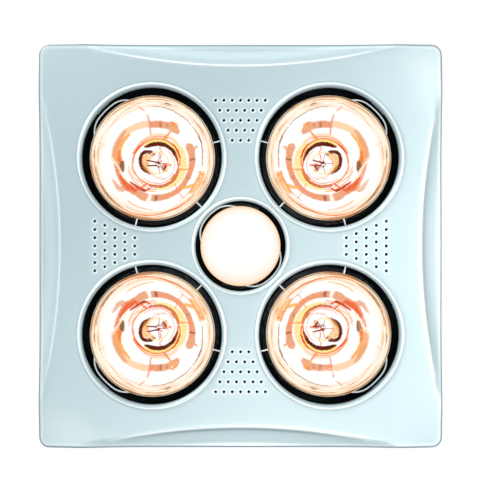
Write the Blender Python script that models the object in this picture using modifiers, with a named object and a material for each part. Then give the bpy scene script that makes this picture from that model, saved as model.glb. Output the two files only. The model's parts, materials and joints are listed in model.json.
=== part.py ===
"""Bathroom ceiling heater: four heat lamps, a centre lamp and an exhaust fan behind one square fascia.

Metres, +Z up. The origin is the middle of the ceiling cut-out, on the ceiling's lower face:
the steel housing stands above it, and the moulded fascia hangs below it.
"""

import math

import bmesh
import bpy
from mathutils import Matrix, Vector

# General clearances and unions
GAP = 0.0003
OVERRUN = 0.004
MERGE = 0.00001
SMOOTH_ANGLE = math.radians(35)

# Fascia
FASCIA_MARGIN = 0.0382
FASCIA_BOW = 0.0013
FASCIA_CORNER_RADIUS = 0.010
FASCIA_DEPTH = 0.018
FASCIA_WALL = 0.0022
FASCIA_EDGE_ROUND = 0.0022
FASCIA_CORNER_FALL = 0.0035
FASCIA_FLAT_RADIUS = 0.200
SCOOP_WIDTH = 0.0223
SCOOP_RADIUS = 0.613
SCOOP_FALL = 0.0125
SCOOP_POWER = 2.2
SCOOP_LEAST_BAND = 0.0015
SCOOP_LOOP_SHARES = (0, 0.45, 0.8, 1)
FIELD_LOOP_SHARE = 0.86
CREASE_HALVINGS = 40

# Lamp openings in the fascia
HEAT_HOLE_GAP = 0.0075
CENTRE_HOLE_GAP = 0.0050
HEAT_LIP_WIDTH = 0.0038
CENTRE_LIP_WIDTH = 0.0030
LIP_WEB = 0.00265
LIP_RISE = 0.0012
COLLAR_DEPTH = 0.006
TAB_WIDTH = 0.017
HEAT_TAB_REACH = 0.0017
CENTRE_TAB_WIDTH = 0.006
CENTRE_TAB_REACH = 0.0008
TAB_THICKNESS = 0.0015

# Vent holes in the fascia
VENT_RADIUS = 0.0014
VENT_SPACING = 0.0082
VENT_ROW_PITCH = 0.0099
VENT_MARGIN = 0.0346
VENT_OUTER_COUNT = 7
VENT_ROWS = 5

# Fascia posts and the spring clips that grip them
POST_INSET = 0.0135
POST_WIDTH = 0.012
POST_THICKNESS = 0.004
POST_TOP = 0.030
CLIP_STRIP = 0.0006
CLIP_WIDTH = 0.010
CLIP_BOTTOM = 0.012
CLIP_HEIGHT = 0.014

# Housing
FASCIA_OVERHANG = 0.028
SHEET = 0.0010
TOP_LIP = 0.010
FLANGE_WIDTH = 0.017
FLANGE_HOLE_RADIUS = 0.00225
FLANGE_HOLE_PLACE = 0.120
SHIELD_HEIGHT = 0.0205
SHIELD_HEAT_GAP = 0.0040
SHIELD_CENTRE_GAP = 0.0035
SHIELD_NOTCH_GAP = 0.0015
SHIELD_EDGE = 0.007

# Heat lamps, a standard 125 mm reflector bulb
HEAT_LAMP_RADIUS = 0.0625
HEAT_LAMP_PLANE = -0.0070
HEAT_LAMP_FACE = -0.0205
HEAT_LAMP_LENGTH = 0.1765
HEAT_NECK_RADIUS = 0.0165
GLASS = 0.0011
BOWL_POWER = 0.75
NECK_SHARE = 0.35
BOWL_STEPS = 3
FACE_STEPS = 4
GLASS_STEPS = 18

# Centre lamp, a standard 80 mm reflector bulb
CENTRE_LAMP_RADIUS = 0.0400
CENTRE_LAMP_PLANE = -0.0030
CENTRE_LAMP_FACE = -0.0150
CENTRE_LAMP_LENGTH = 0.1150
CENTRE_NECK_RADIUS = 0.0150

# Screw caps, standard 27 mm
CAP_RADIUS = 0.0131
CAP_LENGTH = 0.0245
CAP_SKIRT_RADIUS = 0.0170
CAP_SKIRT_LENGTH = 0.0080
CAP_WALL = 0.0004
CAP_THREADS = 3
CAP_THREAD_RISE = 0.0006
CONTACT_RADIUS = 0.0045
CONTACT_HEIGHT = 0.0016

# Filament and the glass stem that carries it
STEM_RADIUS = 0.0050
STEM_LENGTH_SHARE = 0.36
FILAMENT_RADIUS = 0.0120
STEM_LEG_RADIUS = 0.0007
STEM_STEPS = 8
FILAMENT_STEPS = 8
FILAMENT_SWEEP = math.radians(330)

# Lampholders
HOLDER_RADIUS = 0.0205
HOLDER_COVER = 0.0262
HOLDER_BORE_GAP = 0.0012
HOLDER_FLOOR = 0.0120
HOLDER_MOUTH_ROUND = 0.0015
HOLDER_FOOT_RADIUS = 0.0245
HOLDER_FOOT_HEIGHT = 0.0060
HOLDER_STEPS = 14

# Lamp guards, bent spring wire
WIRE_RADIUS = 0.00075
GUARD_RING_INSET = 0.0018
GUARD_HEIGHT = 0.0060
GUARD_BOW_GAP = 0.0017
GUARD_BOW_ANGLE = math.radians(28)
SPOKE_ANGLE = math.radians(60)
GUARD_LEG_GAP = 0.0035
CENTRE_GUARD_RING_INSET = 0.0014
CENTRE_GUARD_HEIGHT = 0.0075
CENTRE_GUARD_BOW_GAP = 0.0007
CENTRE_GUARD_BOW_ANGLE = math.radians(42)
CENTRE_LEG_GAP = 0.0020
BOW_RISE_SHARE = 0.68
GUARD_RING_STEPS = 16
GUARD_BOW_STEPS = 8

# Centre lampholder bridge
BRIDGE_WIDTH = 0.040
BRIDGE_SHEET = 0.0015
BRIDGE_FOOT = 0.012

# Fan
IMPELLER_RADIUS = 0.064
IMPELLER_EYE_RADIUS = 0.049
IMPELLER_HEIGHT = 0.050
IMPELLER_BLADES = 18
BLADE_THICKNESS = 0.0010
BLADE_LEAN = math.radians(32)
BLADE_LENGTH_SHARE = 0.92
IMPELLER_DISC = 0.0016
IMPELLER_RIM = 0.0025
IMPELLER_LIFT = 0.006
HUB_RADIUS = 0.008
HUB_HEIGHT = 0.014
SHAFT_RADIUS = 0.003
SHAFT_CLEARANCE = 0.0004
SCROLL_START_RADIUS = 0.072
SCROLL_END_RADIUS = 0.108
SCROLL_HEIGHT = 0.068
SCROLL_WALL = 0.0012
OUTLET_REACH = 0.135
OUTLET_FLANGE = 0.0015
OUTLET_FLANGE_WIDTH = 0.007
SCROLL_STEPS = 28
INLET_RADIUS = 0.050
INLET_RING_WIDTH = 0.012
INLET_RING_HEIGHT = 0.004
SCROLL_EAR = 0.014
SCROLL_EAR_ANGLES = tuple(math.radians(angle) for angle in (150, 205, 262, 318))

# Motor
MOTOR_RADIUS = 0.036
MOTOR_HEIGHT = 0.030
MOTOR_WALL = 0.0012
MOTOR_ROUND = 0.0030
BUSH_RADIUS = 0.0070
BUSH_HEIGHT = 0.0050
ROTOR_RADIUS = 0.0140
ROTOR_HEIGHT = 0.0150
AIR_GAP = 0.0008
BASE_PLATE_RADIUS = 0.0500
BASE_PLATE_SHEET = 0.0015
MOUNT_PAD_INNER = 0.0385
MOUNT_PAD_OUTER = 0.0485
MOUNT_PAD_HEIGHT = 0.0030

# Duct spigot and its damper
DUCT_RADIUS = 0.049
DUCT_WALL = 0.0015
DUCT_LENGTH = 0.050
ADAPTOR_LENGTH = 0.030
DAMPER_GAP = 0.0020
DAMPER_THICKNESS = 0.0012
DAMPER_PIN_RADIUS = 0.0015
DAMPER_PIN_RISE = 0.012
DAMPER_PLACE = 0.025
KNUCKLE_RADIUS = 0.0032
PIN_HEAD_RADIUS = 0.0030
PIN_HEAD = 0.0012

# Wiring box
BOX_WIDTH = 0.090
BOX_HEIGHT = 0.062
BOX_DEPTH = 0.034
BOX_WALL = 0.0015
BOX_BOTTOM = 0.060
LID_THICKNESS = 0.0018
LID_BOSS = 0.0040
WIRE_HOLE_RADIUS = 0.0060
WIRE_GROMMET_FLANGE = 0.0022
WIRE_GROMMET_HEIGHT = 0.0012
TERMINAL_WIDTH = 0.056
TERMINAL_HEIGHT = 0.018
TERMINAL_DEPTH = 0.016
TERMINAL_POLES = 5
TERMINAL_HOLE_RADIUS = 0.0022
TERMINAL_HOLE_DEPTH = 0.0070
GLAND_RADIUS = 0.0110
GLAND_NUT_RADIUS = 0.0125
GLAND_BORE = 0.0045
GLAND_THREAD_RADIUS = 0.0078
GLAND_THREAD_LENGTH = 0.0090
GLAND_COLLAR = 0.0040
GLAND_NUT_LENGTH = 0.0100
LOCKNUT_RADIUS = 0.0110
LOCKNUT_HEIGHT = 0.0035

# Small hardware
SCREW_RADIUS = 0.0019
SCREW_HEAD_RADIUS = 0.0036
SCREW_HEAD_HEIGHT = 0.0018
SCREW_STEPS = 6
SCREW_LENGTH = 0.0070
CUTOUT_RADIUS = 0.0080
CUTOUT_HEIGHT = 0.0090
CUTOUT_EAR_RADIUS = 0.0120
CUTOUT_EAR_HEIGHT = 0.0010
CUTOUT_PLACE = 0.120

# Steps round a turned piece, and along a bend
FINE_STEPS = 24
PLAIN_STEPS = 24
SMALL_STEPS = 12
VENT_STEPS = 5
OUTLINE_SIDE_STEPS = 8
OUTLINE_CORNER_STEPS = 3

# Sizes and levels that follow from the ones above
HEAT_HOLE_RADIUS = HEAT_LAMP_RADIUS + HEAT_HOLE_GAP
CENTRE_HOLE_RADIUS = CENTRE_LAMP_RADIUS + CENTRE_HOLE_GAP
HEAT_LIP_RADIUS = HEAT_HOLE_RADIUS + HEAT_LIP_WIDTH
CENTRE_LIP_RADIUS = CENTRE_HOLE_RADIUS + CENTRE_LIP_WIDTH
LAMP_PITCH = math.sqrt(2) * (HEAT_LIP_RADIUS + CENTRE_LIP_RADIUS + LIP_WEB)
HALF_PITCH = LAMP_PITCH / 2
FASCIA_SIDE = LAMP_PITCH + 2 * (HEAT_LIP_RADIUS + FASCIA_MARGIN)
HOUSING_SIDE = FASCIA_SIDE - 2 * FASCIA_OVERHANG
FLANGE_SIDE = HOUSING_SIDE + 2 * FLANGE_WIDTH
SHIELD_HEAT_RADIUS = HEAT_LAMP_RADIUS + SHIELD_HEAT_GAP
SHIELD_CENTRE_RADIUS = CENTRE_LAMP_RADIUS + SHIELD_CENTRE_GAP
GUARD_RING_RADIUS = HEAT_LAMP_RADIUS - GUARD_RING_INSET
GUARD_BOW_RADIUS = HEAT_HOLE_RADIUS - GUARD_BOW_GAP
GUARD_LEG_RADIUS = HEAT_HOLE_RADIUS + GUARD_LEG_GAP
CENTRE_GUARD_RING_RADIUS = CENTRE_LAMP_RADIUS - CENTRE_GUARD_RING_INSET
CENTRE_GUARD_BOW_RADIUS = CENTRE_HOLE_RADIUS - CENTRE_GUARD_BOW_GAP
CENTRE_LEG_RADIUS = CENTRE_HOLE_RADIUS + CENTRE_LEG_GAP
HEAT_LAMP_TOP = HEAT_LAMP_FACE + HEAT_LAMP_LENGTH
CENTRE_LAMP_TOP = CENTRE_LAMP_FACE + CENTRE_LAMP_LENGTH
HOUSING_HEIGHT = HEAT_LAMP_TOP + GAP + HOLDER_FLOOR
HOUSING_HALF = HOUSING_SIDE / 2
FASCIA_HALF = FASCIA_SIDE / 2
FASCIA_BACK = -(FASCIA_DEPTH - FASCIA_WALL)
SCOOP_APEX = FASCIA_HALF + FASCIA_BOW - SCOOP_WIDTH
VENT_OUTER_ROW = SCOOP_APEX - VENT_MARGIN
POST_PLACE = HOUSING_HALF - POST_INSET
TOP_LEVEL = HOUSING_HEIGHT + GAP
TOP_UPPER = TOP_LEVEL + SHEET
SCROLL_BASE = TOP_UPPER + GAP
SCROLL_TOP = SCROLL_BASE + SCROLL_HEIGHT
LAMP_SIGNS = ((-1, -1), (1, -1), (-1, 1), (1, 1))
SIDE_TURNS = (0, 1, 2, 3)
ORIGIN = (0, 0, 0)
CLIP_TURNS = (0, 2)
QUARTER = math.pi / 2
CENTRE_BOW_ANGLES = (QUARTER / 2, QUARTER / 2 + math.pi)
OUTLET_WIDTH = 2 * DUCT_RADIUS
OUTLET_LOW = SCROLL_END_RADIUS - OUTLET_WIDTH
DUCT_CENTRE_Y = OUTLET_LOW + OUTLET_WIDTH / 2
DUCT_CENTRE_Z = SCROLL_BASE + DUCT_RADIUS
ADAPTOR_FLOOR = SCROLL_BASE + GAP + DUCT_WALL
ADAPTOR_START = OUTLET_REACH + GAP
DUCT_START = ADAPTOR_START + OUTLET_FLANGE + ADAPTOR_LENGTH
DUCT_END = DUCT_START + DUCT_LENGTH
SHAFT_HOLE_RADIUS = SHAFT_RADIUS + SHAFT_CLEARANCE
SCREW_HOLE_RADIUS = SCREW_RADIUS + GAP
BRIDGE_LEVEL = CENTRE_LAMP_TOP + GAP + HOLDER_FLOOR + GAP
IMPELLER_BOTTOM = SCROLL_BASE + IMPELLER_LIFT
IMPELLER_TOP = IMPELLER_BOTTOM + IMPELLER_HEIGHT
BASE_PLATE_LEVEL = SCROLL_TOP + GAP + MOUNT_PAD_HEIGHT + GAP
MOTOR_BOTTOM = BASE_PLATE_LEVEL + BASE_PLATE_SHEET + GAP
MOTOR_TOP = MOTOR_BOTTOM + MOTOR_HEIGHT
DAMPER_AXIS = Vector((DUCT_START + DAMPER_PLACE, DUCT_CENTRE_Y, DUCT_CENTRE_Z + DAMPER_PIN_RISE))


def clear_scene():
    for obj in list(bpy.data.objects):
        bpy.data.objects.remove(obj, do_unlink=True)


clear_scene()
PARTS = bpy.data.collections.new("bathroom_ceiling_heater")
CUTTERS = bpy.data.collections.new("cutters")
bpy.context.scene.collection.children.link(PARTS)
bpy.context.scene.collection.children.link(CUTTERS)


def material(name, colour, roughness, metallic=0.0):
    made = bpy.data.materials.new(name)
    made.use_nodes = True
    shader = made.node_tree.nodes["Principled BSDF"]
    shader.inputs["Base Color"].default_value = (*colour, 1.0)
    shader.inputs["Roughness"].default_value = roughness
    shader.inputs["Metallic"].default_value = metallic
    return made


# Finishes
def silver_plastic(name):
    return material(name, (0.55, 0.64, 0.67), 0.38)


def galvanised(name):
    return material(name, (0.56, 0.58, 0.60), 0.42, 0.9)


def bright_wire(name):
    return material(name, (0.82, 0.84, 0.86), 0.18, 1.0)


def black_steel(name):
    return material(name, (0.012, 0.016, 0.018), 0.6)


def lamp_glass(name):
    return material(name, (0.98, 0.86, 0.72), 0.06)


def cap_metal(name):
    return material(name, (0.78, 0.78, 0.76), 0.3, 1.0)


def porcelain(name):
    return material(name, (0.86, 0.84, 0.79), 0.22)


def black_plastic(name):
    return material(name, (0.03, 0.03, 0.033), 0.5)


def white_plastic(name):
    return material(name, (0.82, 0.82, 0.80), 0.4)


def soft_rubber(name):
    return material(name, (0.04, 0.04, 0.04), 0.8)


def zinc_steel(name):
    return material(name, (0.62, 0.63, 0.64), 0.35, 1.0)


def brass(name):
    return material(name, (0.78, 0.57, 0.24), 0.3, 1.0)


# Making and placing meshes
def new_object(name, mesh, finish, collection=PARTS):
    obj = bpy.data.objects.new(name, mesh)
    collection.objects.link(obj)
    if finish:
        mesh.materials.append(finish(name))
    return obj


def mesh_from(name, form):
    mesh = bpy.data.meshes.new(name)
    form.to_mesh(mesh)
    form.free()
    return mesh


def solid(name, form, finish):
    """A piece of the heater from a finished form."""
    return new_object(name, mesh_from(name, form), finish)


def smooth(obj):
    obj.data.shade_smooth()
    obj.data.set_sharp_from_angle(angle=SMOOTH_ANGLE)
    return obj


def box_form(size, centre):
    """A box of this size, about this centre."""
    form = bmesh.new()
    bmesh.ops.create_cube(form, size=1)
    bmesh.ops.scale(form, vec=size, verts=form.verts)
    bmesh.ops.translate(form, vec=centre, verts=form.verts)
    return form


def round_form(radius, height, centre, steps, axis="Z"):
    """A cylinder about this centre, along the named axis."""
    form = bmesh.new()
    bmesh.ops.create_cone(
        form,
        cap_ends=True,
        segments=steps,
        radius1=radius,
        radius2=radius,
        depth=height,
    )
    turns = {
        "X": Matrix.Rotation(QUARTER, 4, "Y"),
        "Y": Matrix.Rotation(QUARTER, 4, "X"),
        "Z": Matrix.Identity(4),
    }
    bmesh.ops.transform(form, matrix=Matrix.Translation(centre) @ turns[axis], verts=form.verts)
    return form


def joined(forms):
    """One form of several that lie apart."""
    whole = bmesh.new()
    for form in forms:
        part = mesh_from("part", form)
        whole.from_mesh(part)
        bpy.data.meshes.remove(part)
    return whole


def hide_cutter(obj):
    obj.hide_render = True
    obj.display_type = "WIRE"
    return obj


def boolean(obj, other, operation):
    modifier = obj.modifiers.new(operation.lower(), "BOOLEAN")
    modifier.operation = operation
    modifier.solver = "EXACT"
    modifier.object = other


def tool(name, form):
    return hide_cutter(new_object(name, mesh_from(name, form), None, CUTTERS))


def cut(obj, form):
    boolean(obj, tool(obj.name + "_cutter", form), "DIFFERENCE")


def fuse(obj, form):
    boolean(obj, tool(obj.name + "_addition", form), "UNION")


def turned(name, profile, finish, centre=ORIGIN, steps=PLAIN_STEPS, collection=PARTS):
    """A profile of (radius, height) points, run down its outer side, turned about +Z."""
    form = bmesh.new()
    points = [form.verts.new((radius, 0, height)) for radius, height in profile]
    for start, end in zip(points, points[1:]):
        form.edges.new((start, end))
    obj = new_object(name, mesh_from(name, form), finish, collection)
    obj.location = centre
    screw = obj.modifiers.new("turn", "SCREW")
    screw.axis = "Z"
    screw.steps = steps
    screw.render_steps = steps
    screw.use_merge_vertices = True
    screw.merge_threshold = MERGE
    screw.use_smooth_shade = False
    return obj


def closed(profile):
    return [*profile, profile[0]]


def clear_radius(radius, steps):
    """The free radius inside a bore that is turned in this many steps."""
    return radius * math.cos(math.pi / steps)


def settled(obj):
    """The object with its modifiers made into its mesh."""
    graph = bpy.context.evaluated_depsgraph_get()
    mesh = bpy.data.meshes.new_from_object(obj.evaluated_get(graph))
    obj.modifiers.clear()
    obj.data = mesh
    return obj


def turned_form(profile, centre, steps):
    """The turned solid as a form, to join or cut with."""
    obj = settled(turned("turned_form", profile, None, steps=steps, collection=CUTTERS))
    form = bmesh.new()
    form.from_mesh(obj.data)
    bmesh.ops.translate(form, vec=centre, verts=form.verts)
    bpy.data.objects.remove(obj, do_unlink=True)
    return form


def wire_form(points, radius, cyclic=False):
    """A wire along these points."""
    curve = bpy.data.curves.new("wire", "CURVE")
    curve.dimensions = "3D"
    curve.bevel_depth = radius
    curve.bevel_resolution = 0
    curve.use_fill_caps = True
    spline = curve.splines.new("POLY")
    spline.points.add(len(points) - 1)
    for place, point in zip(spline.points, points):
        place.co = (*point, 1)
    spline.use_cyclic_u = cyclic
    obj = bpy.data.objects.new("wire", curve)
    CUTTERS.objects.link(obj)
    graph = bpy.context.evaluated_depsgraph_get()
    mesh = bpy.data.meshes.new_from_object(obj.evaluated_get(graph))
    form = bmesh.new()
    form.from_mesh(mesh)
    bmesh.ops.remove_doubles(form, verts=form.verts, dist=MERGE)
    bpy.data.objects.remove(obj, do_unlink=True)
    bpy.data.meshes.remove(mesh)
    return form


def prism_form(outline, bottom, top):
    """An upright prism on a flat outline that runs anticlockwise."""
    form = bmesh.new()
    low = [form.verts.new((x, y, bottom)) for x, y in outline]
    face = form.faces.new(low)
    lifted = bmesh.ops.extrude_face_region(form, geom=[face])["geom"]
    raised = [item for item in lifted if isinstance(item, bmesh.types.BMVert)]
    bmesh.ops.translate(form, vec=(0, 0, top - bottom), verts=raised)
    bmesh.ops.recalc_face_normals(form, faces=form.faces)
    return form


def polar(radius, angle, height=0.0):
    return Vector((radius * math.cos(angle), radius * math.sin(angle), height))


# Fascia surface
def outline_half(offset):
    """How far the outline stands from the middle, at this offset along its side."""
    share = offset / FASCIA_HALF
    return FASCIA_HALF + FASCIA_BOW * (1 - share * share)


def outline_points(inset):
    """Points round the fascia's edge, moved in by this much; sides bow out, and corners are round."""
    reach = FASCIA_HALF - FASCIA_CORNER_RADIUS
    radius = FASCIA_CORNER_RADIUS - inset
    points = []
    for turn in SIDE_TURNS:
        spin = Matrix.Rotation(turn * QUARTER, 2)
        for step in range(OUTLINE_SIDE_STEPS):
            offset = reach * (2 * step / OUTLINE_SIDE_STEPS - 1)
            points.append(spin @ Vector((outline_half(offset) - inset, offset)))
        for step in range(OUTLINE_CORNER_STEPS):
            angle = QUARTER * step / OUTLINE_CORNER_STEPS
            corner = Vector((reach + outline_half(reach) - FASCIA_HALF, reach))
            points.append(spin @ (corner + radius * Vector((math.cos(angle), math.sin(angle)))))
    return points


def scoop_depth_past(point):
    """How far the point lies beyond the nearest crease, negative inside the raised field."""
    centre = SCOOP_APEX + SCOOP_RADIUS
    along = max(abs(point.x), abs(point.y))
    across = min(abs(point.x), abs(point.y))
    return SCOOP_RADIUS - math.hypot(centre - along, across)


def fascia_depth(point):
    """Depth of the fascia's face below the ceiling at this point."""
    fall_reach = math.hypot(FASCIA_HALF, FASCIA_HALF) - FASCIA_FLAT_RADIUS
    beyond = max(0, point.length - FASCIA_FLAT_RADIUS) / fall_reach
    depth = FASCIA_DEPTH - FASCIA_CORNER_FALL * beyond * beyond
    past = scoop_depth_past(point)
    if past > 0:
        left = 1 - min(1, past / SCOOP_WIDTH)
        depth -= SCOOP_FALL * (1 - left**SCOOP_POWER)
    return depth


def crease_point(edge):
    """Where the ray from the middle to this edge point meets its crease, or a point just inside the edge."""
    far = edge * (1 - SCOOP_LEAST_BAND / edge.length)
    if scoop_depth_past(far) <= 0:
        return far
    low, high = 0.0, 1.0
    for _ in range(CREASE_HALVINGS):
        middle = (low + high) / 2
        if scoop_depth_past(far * middle) > 0:
            high = middle
        else:
            low = middle
    return far * low


def fascia_loops():
    """Loops of points over the fascia's outer face, from its rim to the flat middle."""
    rim = outline_points(0)
    shoulder = outline_points(FASCIA_EDGE_ROUND)
    creases = [crease_point(point) for point in shoulder]
    depths = [fascia_depth(point) for point in shoulder]
    cos45 = math.cos(QUARTER / 2)
    middle = outline_points(FASCIA_EDGE_ROUND * (1 - cos45))
    loops = [[Vector((*point, 0)) for point in rim]]
    loops.append([Vector((*p, FASCIA_EDGE_ROUND - d)) for p, d in zip(rim, depths)])
    lift = FASCIA_EDGE_ROUND * (1 - cos45)
    loops.append([Vector((*p, lift - d)) for p, d in zip(middle, depths)])
    for share in SCOOP_LOOP_SHARES:
        places = [a.lerp(b, share) for a, b in zip(shoulder, creases)]
        loops.append([Vector((*p, -fascia_depth(p))) for p in places])
    field = [point * FIELD_LOOP_SHARE for point in creases]
    loops.append([Vector((*p, -fascia_depth(p))) for p in field])
    return loops


def fascia_surface():
    form = bmesh.new()
    rings = [[form.verts.new(point) for point in loop] for loop in fascia_loops()]
    count = len(rings[0])
    for outer, inner in zip(rings, rings[1:]):
        for here in range(count):
            after = (here + 1) % count
            form.faces.new((outer[here], inner[here], inner[after], outer[after]))
    form.faces.new(rings[-1][::-1])
    bmesh.ops.recalc_face_normals(form, faces=form.faces)
    if sum(face.normal.z for face in form.faces) > 0:
        bmesh.ops.reverse_faces(form, faces=form.faces)
    return form


def vent_places():
    """Middles of the vent holes: on each side, rows that lose a hole each towards the middle."""
    places = []
    for turn in SIDE_TURNS:
        spin = Matrix.Rotation(turn * QUARTER, 2)
        for row in range(VENT_ROWS):
            count = VENT_OUTER_COUNT - row
            for step in range(count):
                along = (step - (count - 1) / 2) * VENT_SPACING
                places.append(spin @ Vector((VENT_OUTER_ROW - row * VENT_ROW_PITCH, along)))
    return places


def lamp_places():
    return [Vector((sx * HALF_PITCH, sy * HALF_PITCH)) for sx, sy in LAMP_SIGNS]


def collar_form(radius, lip, centre):
    """The raised lip of an opening and the collar behind it."""
    face = -FASCIA_DEPTH
    profile = closed(
        [
            (radius, face + FASCIA_WALL + COLLAR_DEPTH),
            (radius, face),
            (radius + lip / 3, face - LIP_RISE),
            (radius + lip, face + FASCIA_WALL / 3),
            (radius + FASCIA_WALL, face + FASCIA_WALL + COLLAR_DEPTH),
        ]
    )
    return turned_form(profile[::-1], (*centre, 0), FINE_STEPS)


def tab_form(centre, angle, radius, reach, width):
    """A short tab that stands in from an opening's edge and holds the guard's wire."""
    inner = radius - reach
    outer = radius + FASCIA_WALL / 2
    size = (outer - inner, width, TAB_THICKNESS)
    form = box_form(size, ((outer + inner) / 2, 0, FASCIA_BACK + TAB_THICKNESS / 2))
    place = Matrix.Translation((*centre, 0)) @ Matrix.Rotation(angle, 4, "Z")
    bmesh.ops.transform(form, matrix=place, verts=form.verts)
    return form


def outward_angle(place):
    return math.atan2(place.y, place.x)


def post_forms():
    """Two posts that stand up from the fascia's back, near the middle of opposite sides."""
    bottom = FASCIA_BACK - FASCIA_WALL / 2
    forms = []
    for turn in CLIP_TURNS:
        size = (POST_THICKNESS, POST_WIDTH, POST_TOP - bottom)
        form = box_form(size, (POST_PLACE, 0, (POST_TOP + bottom) / 2))
        bmesh.ops.rotate(form, matrix=Matrix.Rotation(turn * QUARTER, 3, "Z"), verts=form.verts)
        forms.append(form)
    return forms


def fascia_hole(radius, place, steps):
    """A cylinder through the fascia's face that stays clear of the ceiling."""
    depth = FASCIA_DEPTH + OVERRUN
    return round_form(radius, depth, (*place, -depth / 2 - FASCIA_WALL), steps)


def make_fascia():
    fascia = solid("fascia", fascia_surface(), silver_plastic)
    shell = fascia.modifiers.new("wall", "SOLIDIFY")
    shell.thickness = FASCIA_WALL
    shell.offset = -1
    shell.use_even_offset = True
    middle = Vector((0, 0))
    holes = [fascia_hole(CENTRE_HOLE_RADIUS + FASCIA_WALL / 2, middle, FINE_STEPS)]
    holes += [fascia_hole(HEAT_HOLE_RADIUS + FASCIA_WALL / 2, place, FINE_STEPS) for place in lamp_places()]
    holes += [fascia_hole(VENT_RADIUS, place, VENT_STEPS) for place in vent_places()]
    cut(fascia, joined(holes))
    additions = post_forms()
    additions.append(collar_form(CENTRE_HOLE_RADIUS, CENTRE_LIP_WIDTH, middle))
    for angle in CENTRE_BOW_ANGLES:
        additions.append(tab_form(middle, angle, CENTRE_HOLE_RADIUS, CENTRE_TAB_REACH, CENTRE_TAB_WIDTH))
    for place in lamp_places():
        additions.append(collar_form(HEAT_HOLE_RADIUS, HEAT_LIP_WIDTH, place))
        additions.append(tab_form(place, outward_angle(place), HEAT_HOLE_RADIUS, HEAT_TAB_REACH, TAB_WIDTH))
    for number, form in enumerate(additions):
        boolean(fascia, tool(f"fascia_addition_{number}", form), "UNION")
    return fascia


def turned_copies(forms_for_side, turns=SIDE_TURNS):
    """The forms of one side, repeated on the others by quarter turns about +Z."""
    copies = []
    for turn in turns:
        for form in forms_for_side():
            bmesh.ops.rotate(form, matrix=Matrix.Rotation(turn * QUARTER, 3, "Z"), verts=form.verts)
            copies.append(form)
    return copies


def clip_outline():
    """Plan of one spring strap: two feet on the housing wall and a loop round the post's inner half."""
    wall = HOUSING_HALF - SHEET - GAP
    near = POST_WIDTH / 2 + GAP
    far = near + CLIP_STRIP
    foot = far + CLIP_WIDTH / 2
    inner = POST_PLACE - POST_THICKNESS / 2 - GAP
    outer = inner - CLIP_STRIP
    right = [(wall, near), (wall, foot), (wall - CLIP_STRIP, foot), (wall - CLIP_STRIP, far), (outer, far)]
    left = [(x, -y) for x, y in reversed(right)]
    return [*right, *left, (inner, -near), (inner, near)][::-1]


def make_clips():
    outline = clip_outline()
    for number, turn in enumerate(CLIP_TURNS, 1):
        form = prism_form(outline, CLIP_BOTTOM, CLIP_BOTTOM + CLIP_HEIGHT)
        clip = solid(f"fascia_spring_clip_{number}", form, zinc_steel)
        clip.rotation_euler = (0, 0, turn * QUARTER)


# Screws
def screw_form(length):
    """A pan-head screw, head up, with its head's seat at the origin."""
    profile = [
        (0, SCREW_HEAD_HEIGHT),
        (SCREW_HEAD_RADIUS, SCREW_HEAD_HEIGHT),
        (SCREW_HEAD_RADIUS, 0),
        (SCREW_RADIUS, 0),
        (SCREW_RADIUS, -length),
        (0, -length),
    ]
    return turned_form(profile, ORIGIN, SCREW_STEPS)


def make_screw(name, place, direction, length, finish):
    screw = solid(name, screw_form(length), finish)
    screw.location = place
    screw.rotation_euler = Vector((0, 0, -1)).rotation_difference(Vector(direction)).to_euler()
    return screw


def screw_holes(places, axis):
    """Clearance holes through whatever lies within a screw's length of these points."""
    long = 2 * SCREW_LENGTH
    return joined([round_form(SCREW_HOLE_RADIUS, long, place, SCREW_STEPS, axis) for place in places])


# Housing
def make_housing_walls():
    inner = HOUSING_SIDE - 2 * SHEET
    height = HOUSING_HEIGHT + SHEET
    middle = (HOUSING_HEIGHT - SHEET) / 2
    walls = solid("housing_walls", box_form((HOUSING_SIDE, HOUSING_SIDE, height), (0, 0, middle)), galvanised)
    cut(walls, box_form((inner, inner, height + OVERRUN), (0, 0, middle)))
    cut(walls, wire_hole_form())
    cut(walls, screw_holes([earth_screw_place()], "X"))
    return walls


def make_flange():
    opening = HOUSING_SIDE + 2 * GAP
    plate = box_form((FLANGE_SIDE, FLANGE_SIDE, SHEET), (0, 0, -SHEET / 2))
    flange = solid("ceiling_flange", plate, galvanised)
    holes = [box_form((opening, opening, OVERRUN), ORIGIN)]

    def side_holes():
        place = (FLANGE_SIDE + opening) / 4
        return [
            round_form(FLANGE_HOLE_RADIUS, OVERRUN, (place, side * FLANGE_HOLE_PLACE, 0), SCREW_STEPS)
            for side in (-1, 1)
        ]

    cut(flange, joined(holes + turned_copies(side_holes)))
    return flange


def make_housing_top():
    half = HOUSING_HALF + GAP + SHEET
    centre = (0, 0, TOP_UPPER - TOP_LIP / 2)
    top = solid("housing_top", box_form((2 * half, 2 * half, TOP_LIP), centre), galvanised)
    inner = 2 * (half - SHEET)
    cut(top, box_form((inner, inner, TOP_LIP), (0, 0, TOP_LEVEL - TOP_LIP / 2)))
    cut(top, round_form(INLET_RADIUS, OVERRUN, (0, 0, TOP_LEVEL), FINE_STEPS))
    return top


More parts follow.
